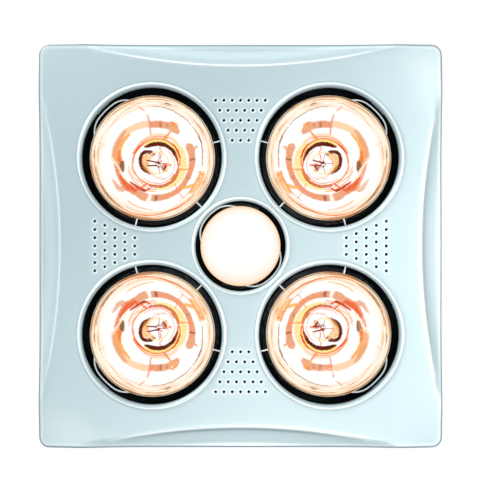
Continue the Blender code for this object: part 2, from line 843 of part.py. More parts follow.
def make_shield():
    """The black inner plate with an opening above each lamp and a lip up the walls."""
    side = 2 * (HOUSING_HALF - SHEET - GAP)
    height = SHEET + SHIELD_EDGE
    plate = box_form((side, side, height), (0, 0, SHIELD_HEIGHT + height / 2))
    shield = solid("inner_shield", plate, black_steel)
    inner = side - 2 * SHEET
    cut(shield, box_form((inner, inner, height), (0, 0, SHIELD_HEIGHT + SHEET + height / 2)))
    holes = [round_form(SHIELD_CENTRE_RADIUS, OVERRUN, (0, 0, SHIELD_HEIGHT), FINE_STEPS)]
    for place in lamp_places():
        holes.append(round_form(SHIELD_HEAT_RADIUS, OVERRUN, (*place, SHIELD_HEIGHT), FINE_STEPS))
    start = POST_PLACE - POST_THICKNESS / 2 - GAP - CLIP_STRIP - SHIELD_NOTCH_GAP
    width = POST_WIDTH + 2 * (GAP + CLIP_STRIP) + CLIP_WIDTH + 2 * SHIELD_NOTCH_GAP

    size = (HOUSING_HALF - start, width, 2 * height + OVERRUN)

    def notch():
        return [box_form(size, ((HOUSING_HALF + start) / 2, 0, SHIELD_HEIGHT + height))]

    cut(shield, joined(holes + turned_copies(notch, CLIP_TURNS)))
    return shield


# Lamps
def face_profile(radius, plane, face, steps):
    """The domed face, from its widest circle down to its middle."""
    points = []
    for step in range(steps + 1):
        angle = QUARTER * (1 - step / steps)
        points.append((radius * math.sin(angle), plane - (plane - face) * math.cos(angle)))
    points[-1] = (0, face)
    return points


def bowl_profile(radius, plane, neck, neck_level, steps):
    """The reflector's side, from the neck down to just above the widest circle."""
    points = []
    for step in range(steps):
        share = step / steps
        wide = neck + (radius - neck) * share**BOWL_POWER
        points.append((wide, neck_level + (plane - neck_level) * share))
    return points


def make_glass(name, centre, radius, plane, face, neck, top):
    """A blown reflector bulb: domed face, bowl and neck, open where the cap closes it."""
    cap_bottom = top - CONTACT_HEIGHT - CAP_LENGTH
    neck_end = cap_bottom + CAP_SKIRT_LENGTH
    neck_level = cap_bottom - (cap_bottom - plane) * NECK_SHARE
    tip = clear_radius(CAP_RADIUS - CAP_WALL, SMALL_STEPS) - GAP
    outer = [(tip, neck_end), (tip, cap_bottom), (neck, cap_bottom - (neck - tip))]
    outer += bowl_profile(radius, plane, neck, neck_level, BOWL_STEPS)
    outer += face_profile(radius, plane, face, FACE_STEPS)
    inner = face_profile(radius - GLASS, plane, face + GLASS, FACE_STEPS // 2)[::-1]
    inner += bowl_profile(radius - GLASS, plane, neck - GLASS, neck_level, BOWL_STEPS)[::-1]
    inner += [(tip - GLASS, cap_bottom), (tip - GLASS, neck_end)]
    return turned(name, inner + outer, lamp_glass, (*centre, 0), GLASS_STEPS)


def make_cap(name, centre, top):
    """The screw cap: contact, insulator and a shell with a rounded thread."""
    shell_top = top - CONTACT_HEIGHT
    bottom = shell_top - CAP_LENGTH
    inner = CAP_RADIUS - CAP_WALL
    profile = [
        (0, top),
        (CONTACT_RADIUS, top),
        (CONTACT_RADIUS, shell_top),
        (CAP_RADIUS * 2 / 3, shell_top),
    ]
    pitch = (CAP_LENGTH - CAP_SKIRT_LENGTH) / CAP_THREADS
    for thread in range(CAP_THREADS):
        start = shell_top - (thread + 0.5) * pitch
        profile += [(CAP_RADIUS, start + pitch / 4), (CAP_RADIUS + CAP_THREAD_RISE, start - pitch / 4)]
    profile += [(CAP_RADIUS, bottom + CAP_SKIRT_LENGTH), (CAP_RADIUS, bottom), (inner, bottom)]
    profile += [(inner, shell_top - CAP_LENGTH / 4), (0, shell_top - CAP_LENGTH / 4)]
    return turned(name, profile, cap_metal, (*centre, 0), SMALL_STEPS)


def make_filament(name, centre, top, face):
    """The glass stem, its two lead wires and the ring of filament they hold."""
    stem_top = top - CONTACT_HEIGHT - CAP_LENGTH / 4 - GAP
    stem_bottom = stem_top - (top - face) * STEM_LENGTH_SHARE
    ring_level = stem_bottom - FILAMENT_RADIUS
    profile = [(0, stem_top), (STEM_RADIUS, stem_top), (STEM_RADIUS, stem_bottom), (0, stem_bottom)]
    piece = solid(name, turned_form(profile, ORIGIN, STEM_STEPS), lamp_glass)
    piece.location = (*centre, 0)
    ring = []
    for step in range(FILAMENT_STEPS + 1):
        angle = FILAMENT_SWEEP * (step / FILAMENT_STEPS - 1 / 2)
        ring.append(polar(FILAMENT_RADIUS, angle, ring_level))
    start = Vector((-STEM_RADIUS / 2, -STEM_RADIUS / 2, stem_bottom + STEM_RADIUS))
    end = Vector((-STEM_RADIUS / 2, STEM_RADIUS / 2, stem_bottom + STEM_RADIUS))
    form = wire_form([start, *ring, end], STEM_LEG_RADIUS)
    bmesh.ops.translate(form, vec=(*centre, 0), verts=form.verts)
    fuse(piece, form)
    return piece


def make_holder(name, centre, top):
    """A porcelain lampholder: a cup round the cap, a floor and a wide foot above."""
    bore = CAP_RADIUS + CAP_THREAD_RISE + HOLDER_BORE_GAP
    mouth = top - HOLDER_COVER
    floor = top + GAP
    foot_top = floor + HOLDER_FLOOR
    round_off = HOLDER_MOUTH_ROUND
    profile = [
        (0, foot_top),
        (HOLDER_FOOT_RADIUS, foot_top),
        (HOLDER_FOOT_RADIUS, foot_top - HOLDER_FOOT_HEIGHT),
        (HOLDER_RADIUS, foot_top - HOLDER_FOOT_HEIGHT),
        (HOLDER_RADIUS, mouth + round_off),
        (HOLDER_RADIUS - round_off, mouth),
        (bore, mouth),
        (bore, floor),
        (0, floor),
    ]
    return turned(name, profile, porcelain, (*centre, 0), HOLDER_STEPS)


def guard_radius(share, ring, bow):
    """The wire's distance from the lamp's axis, by its share of the way from a bow's middle to its end."""
    return ring + (bow - ring) * math.sin(QUARTER * min(1, (1 - abs(share)) / BOW_RISE_SHARE))


def guard_path(ring, bow, reach, level, bows):
    """The closed wire: a ring that bows outward at each of these angles, in turn."""
    points = []
    span = 2 * math.pi / len(bows)
    ring_steps = GUARD_RING_STEPS // len(bows)
    for middle in bows:
        for step in range(GUARD_BOW_STEPS):
            share = 2 * step / GUARD_BOW_STEPS - 1
            points.append(polar(guard_radius(share, ring, bow), middle + share * reach, level))
        for step in range(ring_steps):
            angle = middle + reach + (span - 2 * reach) * step / ring_steps
            points.append(polar(ring, angle, level))
    return points


def make_heat_guard(name, centre):
    """The bright wire round one heat lamp, with three spokes up to the shield."""
    facing = outward_angle(centre)
    path = guard_path(GUARD_RING_RADIUS, GUARD_BOW_RADIUS, GUARD_BOW_ANGLE, GUARD_HEIGHT, [facing])
    guard = solid(name, wire_form(path, WIRE_RADIUS, True), bright_wire)
    guard.location = (*centre, 0)
    for number in (-1, 0, 1):
        angle = facing + math.pi + number * SPOKE_ANGLE
        spoke = [
            polar(GUARD_RING_RADIUS, angle, GUARD_HEIGHT),
            polar(GUARD_LEG_RADIUS, angle, GUARD_HEIGHT),
            polar(GUARD_LEG_RADIUS, angle, SHIELD_HEIGHT - GAP),
        ]
        form = wire_form(spoke, WIRE_RADIUS)
        bmesh.ops.translate(form, vec=(*centre, 0), verts=form.verts)
        fuse(guard, form)
    return guard


def make_centre_guard():
    """The wire round the centre lamp, with a bow and a leg at two opposite places."""
    path = guard_path(
        CENTRE_GUARD_RING_RADIUS,
        CENTRE_GUARD_BOW_RADIUS,
        CENTRE_GUARD_BOW_ANGLE,
        CENTRE_GUARD_HEIGHT,
        CENTRE_BOW_ANGLES,
    )
    guard = solid("centre_lamp_guard", wire_form(path, WIRE_RADIUS, True), bright_wire)
    for angle in CENTRE_BOW_ANGLES:
        leg = [
            polar(CENTRE_GUARD_BOW_RADIUS, angle, CENTRE_GUARD_HEIGHT),
            polar(CENTRE_LEG_RADIUS, angle, CENTRE_GUARD_HEIGHT),
            polar(CENTRE_LEG_RADIUS, angle, SHIELD_HEIGHT - GAP),
        ]
        fuse(guard, wire_form(leg, WIRE_RADIUS))
    return guard


def make_heat_lamps():
    for number, place in enumerate(lamp_places(), 1):
        make_glass(
            f"heat_lamp_glass_{number}",
            place,
            HEAT_LAMP_RADIUS,
            HEAT_LAMP_PLANE,
            HEAT_LAMP_FACE,
            HEAT_NECK_RADIUS,
            HEAT_LAMP_TOP,
        )
        make_cap(f"heat_lamp_cap_{number}", place, HEAT_LAMP_TOP)
        make_filament(f"heat_lamp_filament_{number}", place, HEAT_LAMP_TOP, HEAT_LAMP_FACE)
        make_holder(f"lampholder_{number}", place, HEAT_LAMP_TOP)
        make_heat_guard(f"heat_lamp_guard_{number}", place)


def make_centre_lamp():
    middle = (0, 0)
    make_glass(
        "centre_lamp_glass",
        middle,
        CENTRE_LAMP_RADIUS,
        CENTRE_LAMP_PLANE,
        CENTRE_LAMP_FACE,
        CENTRE_NECK_RADIUS,
        CENTRE_LAMP_TOP,
    )
    make_cap("centre_lamp_cap", middle, CENTRE_LAMP_TOP)
    make_filament("centre_lamp_filament", middle, CENTRE_LAMP_TOP, CENTRE_LAMP_FACE)
    make_holder("centre_lampholder", middle, CENTRE_LAMP_TOP)
    make_centre_guard()


def make_bridge():
    """The strip across the housing that carries the centre lampholder, with a turned-up foot at each wall."""
    half = HOUSING_HALF - SHEET - GAP
    level = BRIDGE_LEVEL + BRIDGE_SHEET / 2
    strip = box_form((BRIDGE_WIDTH, 2 * half, BRIDGE_SHEET), (0, 0, level))
    bridge = solid("centre_holder_bridge", strip, galvanised)
    foot_level = BRIDGE_LEVEL + (BRIDGE_SHEET + BRIDGE_FOOT) / 2
    for side in (-1, 1):
        size = (BRIDGE_WIDTH, BRIDGE_SHEET, BRIDGE_SHEET + BRIDGE_FOOT)
        fuse(bridge, box_form(size, (0, side * (half - BRIDGE_SHEET / 2), foot_level)))
    return bridge


# Fan
def scroll_outline(offset, reach):
    """Plan of the scroll, grown by the offset: a spiral from the tongue round to a straight outlet."""
    low = OUTLET_LOW - offset
    start = SCROLL_START_RADIUS + offset
    end = SCROLL_END_RADIUS + offset
    first = math.asin(low / start)
    last = QUARTER - 2 * math.pi
    points = []
    for step in range(SCROLL_STEPS + 1):
        share = step / SCROLL_STEPS
        angle = first + (last - first) * share
        points.append(tuple(polar(start + (end - start) * share, angle).xy))
    points += [(reach, end), (reach, low)]
    return points[::-1]


def scroll_radius(angle):
    """The spiral's radius at this angle from +X, anticlockwise."""
    first = math.asin(OUTLET_LOW / SCROLL_START_RADIUS)
    share = ((first - angle) % (2 * math.pi)) / (first - QUARTER + 2 * math.pi)
    return SCROLL_START_RADIUS + (SCROLL_END_RADIUS - SCROLL_START_RADIUS) * share


def outlet_frame_form(start):
    """A flat plate round the outlet, down to the scroll's foot, to cut open afterwards."""
    low = OUTLET_LOW - OUTLET_FLANGE_WIDTH
    high = OUTLET_LOW + OUTLET_WIDTH + OUTLET_FLANGE_WIDTH
    top = SCROLL_TOP + OUTLET_FLANGE_WIDTH
    size = (OUTLET_FLANGE, high - low, top - SCROLL_BASE)
    return box_form(size, (start + OUTLET_FLANGE / 2, (low + high) / 2, (top + SCROLL_BASE) / 2))


def make_scroll():
    outer = prism_form(scroll_outline(SCROLL_WALL, OUTLET_REACH), SCROLL_BASE, SCROLL_TOP)
    scroll = solid("fan_scroll", outer, galvanised)
    fuse(scroll, outlet_frame_form(OUTLET_REACH - OUTLET_FLANGE))
    ear = SCROLL_EAR + SCROLL_WALL
    for angle in SCROLL_EAR_ANGLES:
        centre = (scroll_radius(angle) + ear / 2, 0, SCROLL_BASE + OUTLET_FLANGE / 2)
        form = box_form((ear, SCROLL_EAR, OUTLET_FLANGE), centre)
        bmesh.ops.rotate(form, matrix=Matrix.Rotation(angle, 3, "Z"), verts=form.verts)
        fuse(scroll, form)
    plan = scroll_outline(0, OUTLET_REACH + OVERRUN)
    cut(scroll, prism_form(plan, SCROLL_BASE - OVERRUN, SCROLL_TOP - SCROLL_WALL))
    cut(scroll, round_form(SHAFT_HOLE_RADIUS, OVERRUN, (0, 0, SCROLL_TOP), SMALL_STEPS))
    cut(scroll, screw_holes(motor_screw_places(), "Z"))
    return scroll


def make_inlet_ring():
    """The rolled ring that leads air from the housing into the impeller's eye."""
    inner = INLET_RADIUS - GAP
    low = SCROLL_BASE
    profile = closed(
        [
            (inner - SHEET, low + INLET_RING_HEIGHT),
            (inner + SHEET, low + INLET_RING_HEIGHT),
            (inner + SHEET, low + SHEET),
            (inner + INLET_RING_WIDTH, low + SHEET),
            (inner + INLET_RING_WIDTH, low),
            (inner - SHEET, low),
        ]
    )
    return turned("fan_inlet_ring", profile, galvanised, ORIGIN, FINE_STEPS)


def blade_forms():
    length = (IMPELLER_RADIUS - IMPELLER_EYE_RADIUS) * BLADE_LENGTH_SHARE
    middle = (IMPELLER_RADIUS + IMPELLER_EYE_RADIUS) / 2
    bottom = IMPELLER_BOTTOM + IMPELLER_RIM / 2
    top = IMPELLER_TOP - IMPELLER_DISC / 2
    lean = Matrix.Translation((middle, 0, 0)) @ Matrix.Rotation(BLADE_LEAN, 4, "Z")
    forms = []
    for number in range(IMPELLER_BLADES):
        form = box_form((length, BLADE_THICKNESS, top - bottom), (0, 0, (top + bottom) / 2))
        turn = Matrix.Rotation(2 * math.pi * number / IMPELLER_BLADES, 4, "Z")
        bmesh.ops.transform(form, matrix=turn @ lean, verts=form.verts)
        forms.append(form)
    return forms


def make_impeller():
    """A squirrel cage: a top disc with its hub, leaning blades and a ring round the eye."""
    disc = [
        (SHAFT_RADIUS + GAP, IMPELLER_TOP),
        (IMPELLER_RADIUS, IMPELLER_TOP),
        (IMPELLER_RADIUS, IMPELLER_TOP - IMPELLER_DISC),
        (HUB_RADIUS, IMPELLER_TOP - IMPELLER_DISC),
        (HUB_RADIUS, IMPELLER_TOP - HUB_HEIGHT),
        (SHAFT_RADIUS + GAP, IMPELLER_TOP - HUB_HEIGHT),
    ]
    ring = [
        (IMPELLER_EYE_RADIUS, IMPELLER_BOTTOM + IMPELLER_RIM),
        (IMPELLER_RADIUS, IMPELLER_BOTTOM + IMPELLER_RIM),
        (IMPELLER_RADIUS, IMPELLER_BOTTOM),
        (IMPELLER_EYE_RADIUS, IMPELLER_BOTTOM),
    ]
    rounds = [turned_form(closed(profile), ORIGIN, PLAIN_STEPS) for profile in (disc, ring)]
    impeller = solid("fan_impeller", joined(rounds), black_plastic)
    fuse(impeller, joined(blade_forms()))
    return impeller


def make_shaft():
    bottom = IMPELLER_TOP - HUB_HEIGHT
    top = MOTOR_TOP - MOTOR_WALL - GAP
    profile = [(0, top), (SHAFT_RADIUS, top), (SHAFT_RADIUS, bottom), (0, bottom)]
    return turned("motor_shaft", profile, zinc_steel, ORIGIN, SMALL_STEPS)


def ring_profile(inner, outer, bottom, top):
    return closed([(inner, top), (outer, top), (outer, bottom), (inner, bottom)])


def make_motor_casing():
    top = MOTOR_TOP
    profile = [
        (0, top),
        (MOTOR_RADIUS - MOTOR_ROUND, top),
        (MOTOR_RADIUS, top - MOTOR_ROUND),
        (MOTOR_RADIUS, MOTOR_BOTTOM),
        (MOTOR_RADIUS - MOTOR_WALL, MOTOR_BOTTOM),
        (MOTOR_RADIUS - MOTOR_WALL, top - MOTOR_ROUND),
        (MOTOR_RADIUS - MOTOR_ROUND, top - MOTOR_WALL),
        (0, top - MOTOR_WALL),
    ]
    return turned("motor_casing", profile, zinc_steel)


def make_motor():
    """The motor's working parts between its two bushes."""
    make_motor_casing()
    lower = BASE_PLATE_LEVEL
    upper = MOTOR_TOP - MOTOR_WALL - GAP - BUSH_HEIGHT
    for name, level in (("motor_bush_lower", lower), ("motor_bush_upper", upper)):
        bush = ring_profile(SHAFT_HOLE_RADIUS, BUSH_RADIUS, level, level + BUSH_HEIGHT)
        turned(name, bush, brass, ORIGIN, SMALL_STEPS)
    middle = (lower + BUSH_HEIGHT + upper) / 2
    low, high = middle - ROTOR_HEIGHT / 2, middle + ROTOR_HEIGHT / 2
    rotor = ring_profile(SHAFT_RADIUS + GAP, ROTOR_RADIUS, low, high)
    turned("motor_rotor", rotor, zinc_steel, ORIGIN, SMALL_STEPS)
    stator = ring_profile(ROTOR_RADIUS + AIR_GAP, MOTOR_RADIUS - MOTOR_WALL - GAP, low, high)
    turned("motor_stator", stator, black_steel)


def make_motor_mounting():
    """The base plate under the motor, on a rubber ring above the scroll."""
    plate = ring_profile(BUSH_RADIUS + GAP, BASE_PLATE_RADIUS, BASE_PLATE_LEVEL, MOTOR_BOTTOM - GAP)
    cut(turned("motor_base_plate", plate, galvanised), screw_holes(motor_screw_places(), "Z"))
    low = SCROLL_TOP + GAP
    pad = ring_profile(MOUNT_PAD_INNER, MOUNT_PAD_OUTER, low, low + MOUNT_PAD_HEIGHT)
    cut(turned("motor_mount_ring", pad, soft_rubber), screw_holes(motor_screw_places(), "Z"))


def motor_screw_places():
    middle = (MOUNT_PAD_INNER + MOUNT_PAD_OUTER) / 2
    return [polar(middle, QUARTER + turn * 2 * math.pi / 3, MOTOR_BOTTOM) for turn in range(3)]


# Duct spigot and damper
def adaptor_surface():
    """The open surface from the rectangular outlet to the round duct."""
    low, high = OUTLET_LOW, OUTLET_LOW + OUTLET_WIDTH
    bottom, top = ADAPTOR_FLOOR, SCROLL_TOP - SCROLL_WALL
    half_width = (high - low) / 2
    half_height = (top - bottom) / 2
    bore = DUCT_RADIUS - DUCT_WALL
    square, circle = [], []
    for step in range(PLAIN_STEPS):
        angle = 2 * math.pi * (step + 1 / 2) / PLAIN_STEPS
        across, up = math.cos(angle), math.sin(angle)
        reach = min(half_width / abs(across), half_height / abs(up))
        square.append(((low + high) / 2 + across * reach, (bottom + top) / 2 + up * reach))
        circle.append((DUCT_CENTRE_Y + across * bore, DUCT_CENTRE_Z + up * bore))
    form = bmesh.new()
    rings = []
    stations = (
        (ADAPTOR_START, square),
        (ADAPTOR_START + OUTLET_FLANGE, square),
        (DUCT_START, circle),
        (DUCT_END, circle),
    )
    for x, outline in stations:
        rings.append([form.verts.new((x, y, z)) for y, z in outline])
    for near, far in zip(rings, rings[1:]):
        for here in range(PLAIN_STEPS):
            after = (here + 1) % PLAIN_STEPS
            form.faces.new((near[here], near[after], far[after], far[here]))
    bmesh.ops.recalc_face_normals(form, faces=form.faces)
    return form


def damper_pin_hole():
    """The bore across the duct for the damper's pin."""
    return round_form(DAMPER_PIN_RADIUS + GAP, 3 * DUCT_RADIUS, DAMPER_AXIS, SMALL_STEPS, "Y")


def make_adaptor():
    adaptor = solid("duct_adaptor", adaptor_surface(), galvanised)
    shell = adaptor.modifiers.new("wall", "SOLIDIFY")
    shell.thickness = DUCT_WALL
    shell.offset = 1
    shell.use_even_offset = True
    frame = tool("adaptor_frame", outlet_frame_form(ADAPTOR_START))
    low, high = ADAPTOR_FLOOR - DUCT_WALL / 2, SCROLL_TOP - SCROLL_WALL + DUCT_WALL / 2
    size = (2 * OVERRUN, OUTLET_WIDTH + DUCT_WALL, high - low)
    cut(frame, box_form(size, (ADAPTOR_START, DUCT_CENTRE_Y, (low + high) / 2)))
    boolean(adaptor, frame, "UNION")
    cut(adaptor, damper_pin_hole())
    return adaptor


def make_damper():
    """A round flap hung on a cross pin above its middle, so it falls shut."""
    radius = DUCT_RADIUS - DUCT_WALL - DAMPER_GAP
    disc = round_form(radius, DAMPER_THICKNESS, (0, 0, -DAMPER_PIN_RISE), PLAIN_STEPS, "X")
    flap = solid("damper_flap", disc, zinc_steel)
    flap.location = DAMPER_AXIS
    half = math.sqrt(radius**2 - DAMPER_PIN_RISE**2) - DAMPER_GAP
    fuse(flap, round_form(KNUCKLE_RADIUS, 2 * half, DAMPER_AXIS, SMALL_STEPS, "Y"))
    cut(flap, damper_pin_hole())
    end = DUCT_RADIUS + GAP
    profile = [
        (0, end + PIN_HEAD),
        (PIN_HEAD_RADIUS, end + PIN_HEAD),
        (PIN_HEAD_RADIUS, end),
        (DAMPER_PIN_RADIUS, end),
        (DAMPER_PIN_RADIUS, -end),
        (PIN_HEAD_RADIUS, -end),
        (PIN_HEAD_RADIUS, -end - PIN_HEAD),
        (0, -end - PIN_HEAD),
    ]
    pin = turned("damper_pin", profile, zinc_steel, DAMPER_AXIS, SMALL_STEPS)
    pin.rotation_euler = (QUARTER, 0, 0)
    return flap


# Wiring box
def box_middle():
    return Vector((-(HOUSING_HALF + GAP + BOX_DEPTH / 2), 0, BOX_BOTTOM + BOX_HEIGHT / 2))


def wire_hole_place():
    return Vector((-HOUSING_HALF, BOX_WIDTH / 4, BOX_BOTTOM + BOX_HEIGHT * 3 / 4))


def wire_hole_form():
    return round_form(WIRE_HOLE_RADIUS, 4 * OVERRUN, wire_hole_place(), SMALL_STEPS, "X")


def gland_place():
    """Middle of the gland's hole, on the box's outer face towards -Y."""
    return Vector((box_middle().x, -BOX_WIDTH / 2, BOX_BOTTOM + BOX_HEIGHT / 3))


def lid_screw_places():
    outside = -(HOUSING_HALF + GAP + BOX_DEPTH + GAP + LID_THICKNESS + GAP)
    middle = box_middle()
    out_y = BOX_WIDTH / 2 - BOX_WALL - LID_BOSS
    out_z = BOX_HEIGHT / 2 - BOX_WALL - LID_BOSS
    return [Vector((outside, side * out_y, middle.z - side * out_z)) for side in (-1, 1)]


def earth_screw_place():
    """Head of the earth screw, against the inside of the box's back."""
    return Vector((-(HOUSING_HALF + GAP + BOX_WALL + GAP), -BOX_WIDTH / 4, BOX_BOTTOM + BOX_HEIGHT * 3 / 4))


def make_wiring_box():
    middle = box_middle()
    box = solid("wiring_box", box_form((BOX_DEPTH, BOX_WIDTH, BOX_HEIGHT), middle), white_plastic)
    inside = (BOX_DEPTH, BOX_WIDTH - 2 * BOX_WALL, BOX_HEIGHT - 2 * BOX_WALL)
    cut(box, box_form(inside, middle - Vector((BOX_WALL, 0, 0))))
    long = BOX_DEPTH - BOX_WALL / 2
    for place in lid_screw_places():
        centre = (middle.x, place.y, place.z)
        fuse(box, round_form(LID_BOSS + BOX_WALL / 2, long, centre, SMALL_STEPS, "X"))
    cut(box, screw_holes(lid_screw_places(), "X"))
    cut(box, wire_hole_form())
    cut(box, round_form(GLAND_THREAD_RADIUS + GAP, 4 * BOX_WALL, gland_place(), SMALL_STEPS, "Y"))
    cut(box, screw_holes([earth_screw_place()], "X"))
    return box


def make_wiring_lid():
    middle = box_middle() - Vector((BOX_DEPTH / 2 + GAP + LID_THICKNESS / 2, 0, 0))
    lid = solid("wiring_box_lid", box_form((LID_THICKNESS, BOX_WIDTH, BOX_HEIGHT), middle), white_plastic)
    cut(lid, screw_holes(lid_screw_places(), "X"))
    return lid


def make_terminal_block():
    """A strip of screw terminals that stands on the box's back."""
    back = -(HOUSING_HALF + GAP + BOX_WALL + GAP)
    level = BOX_BOTTOM + BOX_HEIGHT / 3
    size = (TERMINAL_DEPTH, TERMINAL_WIDTH, TERMINAL_HEIGHT)
    form = box_form(size, (back - TERMINAL_DEPTH / 2, 0, level))
    block = solid("terminal_block", form, white_plastic)
    pitch = TERMINAL_WIDTH / TERMINAL_POLES
    holes = []
    for pole in range(TERMINAL_POLES):
        y = (pole - (TERMINAL_POLES - 1) / 2) * pitch
        place = (back - TERMINAL_DEPTH, y, level)
        holes.append(round_form(TERMINAL_HOLE_RADIUS, 2 * TERMINAL_HOLE_DEPTH, place, SCREW_STEPS, "X"))
    cut(block, joined(holes))
    return block


def make_gland():
    """The cable gland through the box's side, and the locknut inside."""
    outside = GAP
    nut = outside + GLAND_COLLAR
    tip = nut + GLAND_NUT_LENGTH
    inside = -(BOX_WALL + GLAND_THREAD_LENGTH)
    profile = closed(
        [
            (GLAND_BORE, tip),
            (GLAND_RADIUS * 3 / 4, tip),
            (GLAND_RADIUS, nut + GLAND_NUT_LENGTH / 2),
            (GLAND_RADIUS, nut),
            (GLAND_NUT_RADIUS, nut),
            (GLAND_NUT_RADIUS, outside),
            (GLAND_THREAD_RADIUS, outside),
            (GLAND_THREAD_RADIUS, inside),
            (GLAND_BORE, inside),
        ]
    )
    gland = turned("cable_gland", profile, black_plastic, gland_place(), SMALL_STEPS)
    gland.rotation_euler = (QUARTER, 0, 0)
    start = -(BOX_WALL + GAP)
    ring = ring_profile(GLAND_THREAD_RADIUS + GAP, LOCKNUT_RADIUS, start - LOCKNUT_HEIGHT, start)
    locknut = turned("gland_locknut", ring, black_plastic, gland_place(), SCREW_STEPS * 2)
    locknut.rotation_euler = (QUARTER, 0, 0)


def make_wire_grommet():
    """The rubber bush that lines the wire hole from the box into the housing."""
    inner = WIRE_HOLE_RADIUS - GAP
    bore = inner - WIRE_GROMMET_HEIGHT
    outside = GAP + BOX_WALL + GAP
    profile = closed(
        [
            (bore, outside + WIRE_GROMMET_HEIGHT),
            (inner + WIRE_GROMMET_FLANGE, outside + WIRE_GROMMET_HEIGHT),
            (inner + WIRE_GROMMET_FLANGE, outside),
            (inner, outside),
            (inner, -SHEET - GAP),
            (bore, -SHEET - GAP),
        ]
    )
    grommet = turned("wire_grommet", profile, soft_rubber, wire_hole_place(), SMALL_STEPS)
    grommet.rotation_euler = (0, -QUARTER, 0)


def make_cutout():
    """The thermal cut-out, a small disc thermostat under the housing's top."""
    top = TOP_LEVEL - GAP
    profile = [
        (0, top),
        (CUTOUT_EAR_RADIUS, top),
        (CUTOUT_EAR_RADIUS, top - CUTOUT_EAR_HEIGHT),
        (CUTOUT_RADIUS, top - CUTOUT_EAR_HEIGHT),
        (CUTOUT_RADIUS, top - CUTOUT_HEIGHT),
        (0, top - CUTOUT_HEIGHT),
    ]
    return turned("thermal_cutout", profile, black_plastic, (-CUTOUT_PLACE, 0, 0), SMALL_STEPS)


def make_screws():
    for number, place in enumerate(motor_screw_places(), 1):
        make_screw(f"motor_screw_{number}", place, (0, 0, -1), SCREW_LENGTH, zinc_steel)
    for number, place in enumerate(lid_screw_places(), 1):
        make_screw(f"lid_screw_{number}", place, (1, 0, 0), SCREW_LENGTH, zinc_steel)
    make_screw("earth_screw", earth_screw_place(), (1, 0, 0), SCREW_LENGTH, brass)


def make_heater():
    make_fascia()
    make_clips()
    make_flange()
    make_housing_walls()
    make_housing_top()
    make_shield()
    make_heat_lamps()
    make_centre_lamp()
    make_bridge()
    make_scroll()
    make_inlet_ring()
    make_impeller()
    make_shaft()
    make_motor()
    make_motor_mounting()
    make_adaptor()
    make_damper()
    make_wiring_box()
    make_wiring_lid()
    make_terminal_block()
    make_gland()
    make_wire_grommet()
    make_cutout()
    make_screws()
    for obj in PARTS.objects:
        smooth(obj)


make_heater()
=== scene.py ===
"""Looks of the bathroom ceiling heater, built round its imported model. Metres, +Z up, the fascia faces -Z."""

import json
import math

import bmesh
import bpy
import numpy as np
from mathutils import Matrix, Vector, geometry, noise


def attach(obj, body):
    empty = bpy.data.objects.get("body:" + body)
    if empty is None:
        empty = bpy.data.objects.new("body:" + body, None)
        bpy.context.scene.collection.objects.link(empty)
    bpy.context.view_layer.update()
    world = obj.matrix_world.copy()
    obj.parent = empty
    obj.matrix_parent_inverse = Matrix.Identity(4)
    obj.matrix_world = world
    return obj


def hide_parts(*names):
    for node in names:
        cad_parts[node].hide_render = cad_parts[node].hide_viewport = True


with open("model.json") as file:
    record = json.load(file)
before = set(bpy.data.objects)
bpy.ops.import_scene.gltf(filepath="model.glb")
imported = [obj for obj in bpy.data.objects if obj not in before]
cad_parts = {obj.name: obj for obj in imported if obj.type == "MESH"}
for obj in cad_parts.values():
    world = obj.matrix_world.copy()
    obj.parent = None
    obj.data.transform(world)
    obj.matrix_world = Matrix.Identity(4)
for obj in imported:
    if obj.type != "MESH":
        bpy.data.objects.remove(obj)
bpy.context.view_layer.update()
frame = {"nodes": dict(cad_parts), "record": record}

MM = 0.001
TAU = 2 * math.pi
QUARTER = math.pi / 2
TURNS = [Matrix.Rotation(turn * QUARTER, 4, "Z") for turn in range(4)]
PLAN_TURNS = [Matrix.Rotation(turn * QUARTER, 2) for turn in range(4)]
# Local x and y lie along +Y and +Z, and local z points along +X
UPRIGHT = Matrix(((0, 0, 1, 0), (1, 0, 0, 0), (0, 1, 0, 0), (0, 0, 0, 1)))

# Fascia
HALF = 0.200
BOW = 0.0013
CORNER = 0.010
DEPTH = 0.018
WALL = 0.0022
EDGE = 0.0022
CORNER_FALL = 0.0035
FLAT_RADIUS = 0.200
CREASE_APEX = 0.179
CREASE_RADIUS = 0.613
CREASE_ROUND = 0.0012
CREASE_SPAN = 0.28
SCOOP_FALL = 0.0125
SCOOP_POWER = 2.2
SCOOP_WIDTH = HALF + BOW - CREASE_APEX
LIP_RISE = 0.0012
LIP_TURN = 0.0030
LIP_DIP = 0.0002
COLLAR_TOP = -0.0098
COLLAR_WALL = 0.0016
POST_X = 0.1585
MESH_PITCH = 0.0036

# Lamps. Each has its widest radius, the levels of its widest circle and of its face, its neck's radius and
# its top's level, and its glass is made with this many steps round and rows of points along its bowl.
PITCH = 0.088
LAMPS = tuple(Vector((sx * PITCH, sy * PITCH, 0)) for sx, sy in ((-1, -1), (1, -1), (-1, 1), (1, 1)))
HEAT_HOLE = 0.0696
CENTRE_HOLE = 0.0450
HEAT = {
    "r": 0.0625, "plane": -0.0070, "face": -0.0205, "neck": 0.0165, "top": 0.156, "steps": 264, "rows": 104,
}
CENTRE = {
    "r": 0.0400, "plane": -0.0030, "face": -0.0150, "neck": 0.0150, "top": 0.100, "steps": 120, "rows": 28,
}
GLASS = 0.0011
CAP_RADIUS = 0.0131
CAP_LENGTH = 0.0245
CAP_TIP = 0.0016
NECK_SHARE = 0.35
THREAD_PITCH = 0.0036

# Vents
VENT = 0.0014
VENT_SINK = 0.0005
VENT_SPACING = 0.0082
VENT_PITCH = 0.0099
VENT_ROW = 0.1444
VENT_ROWS = 5
VENT_LONGEST = 7

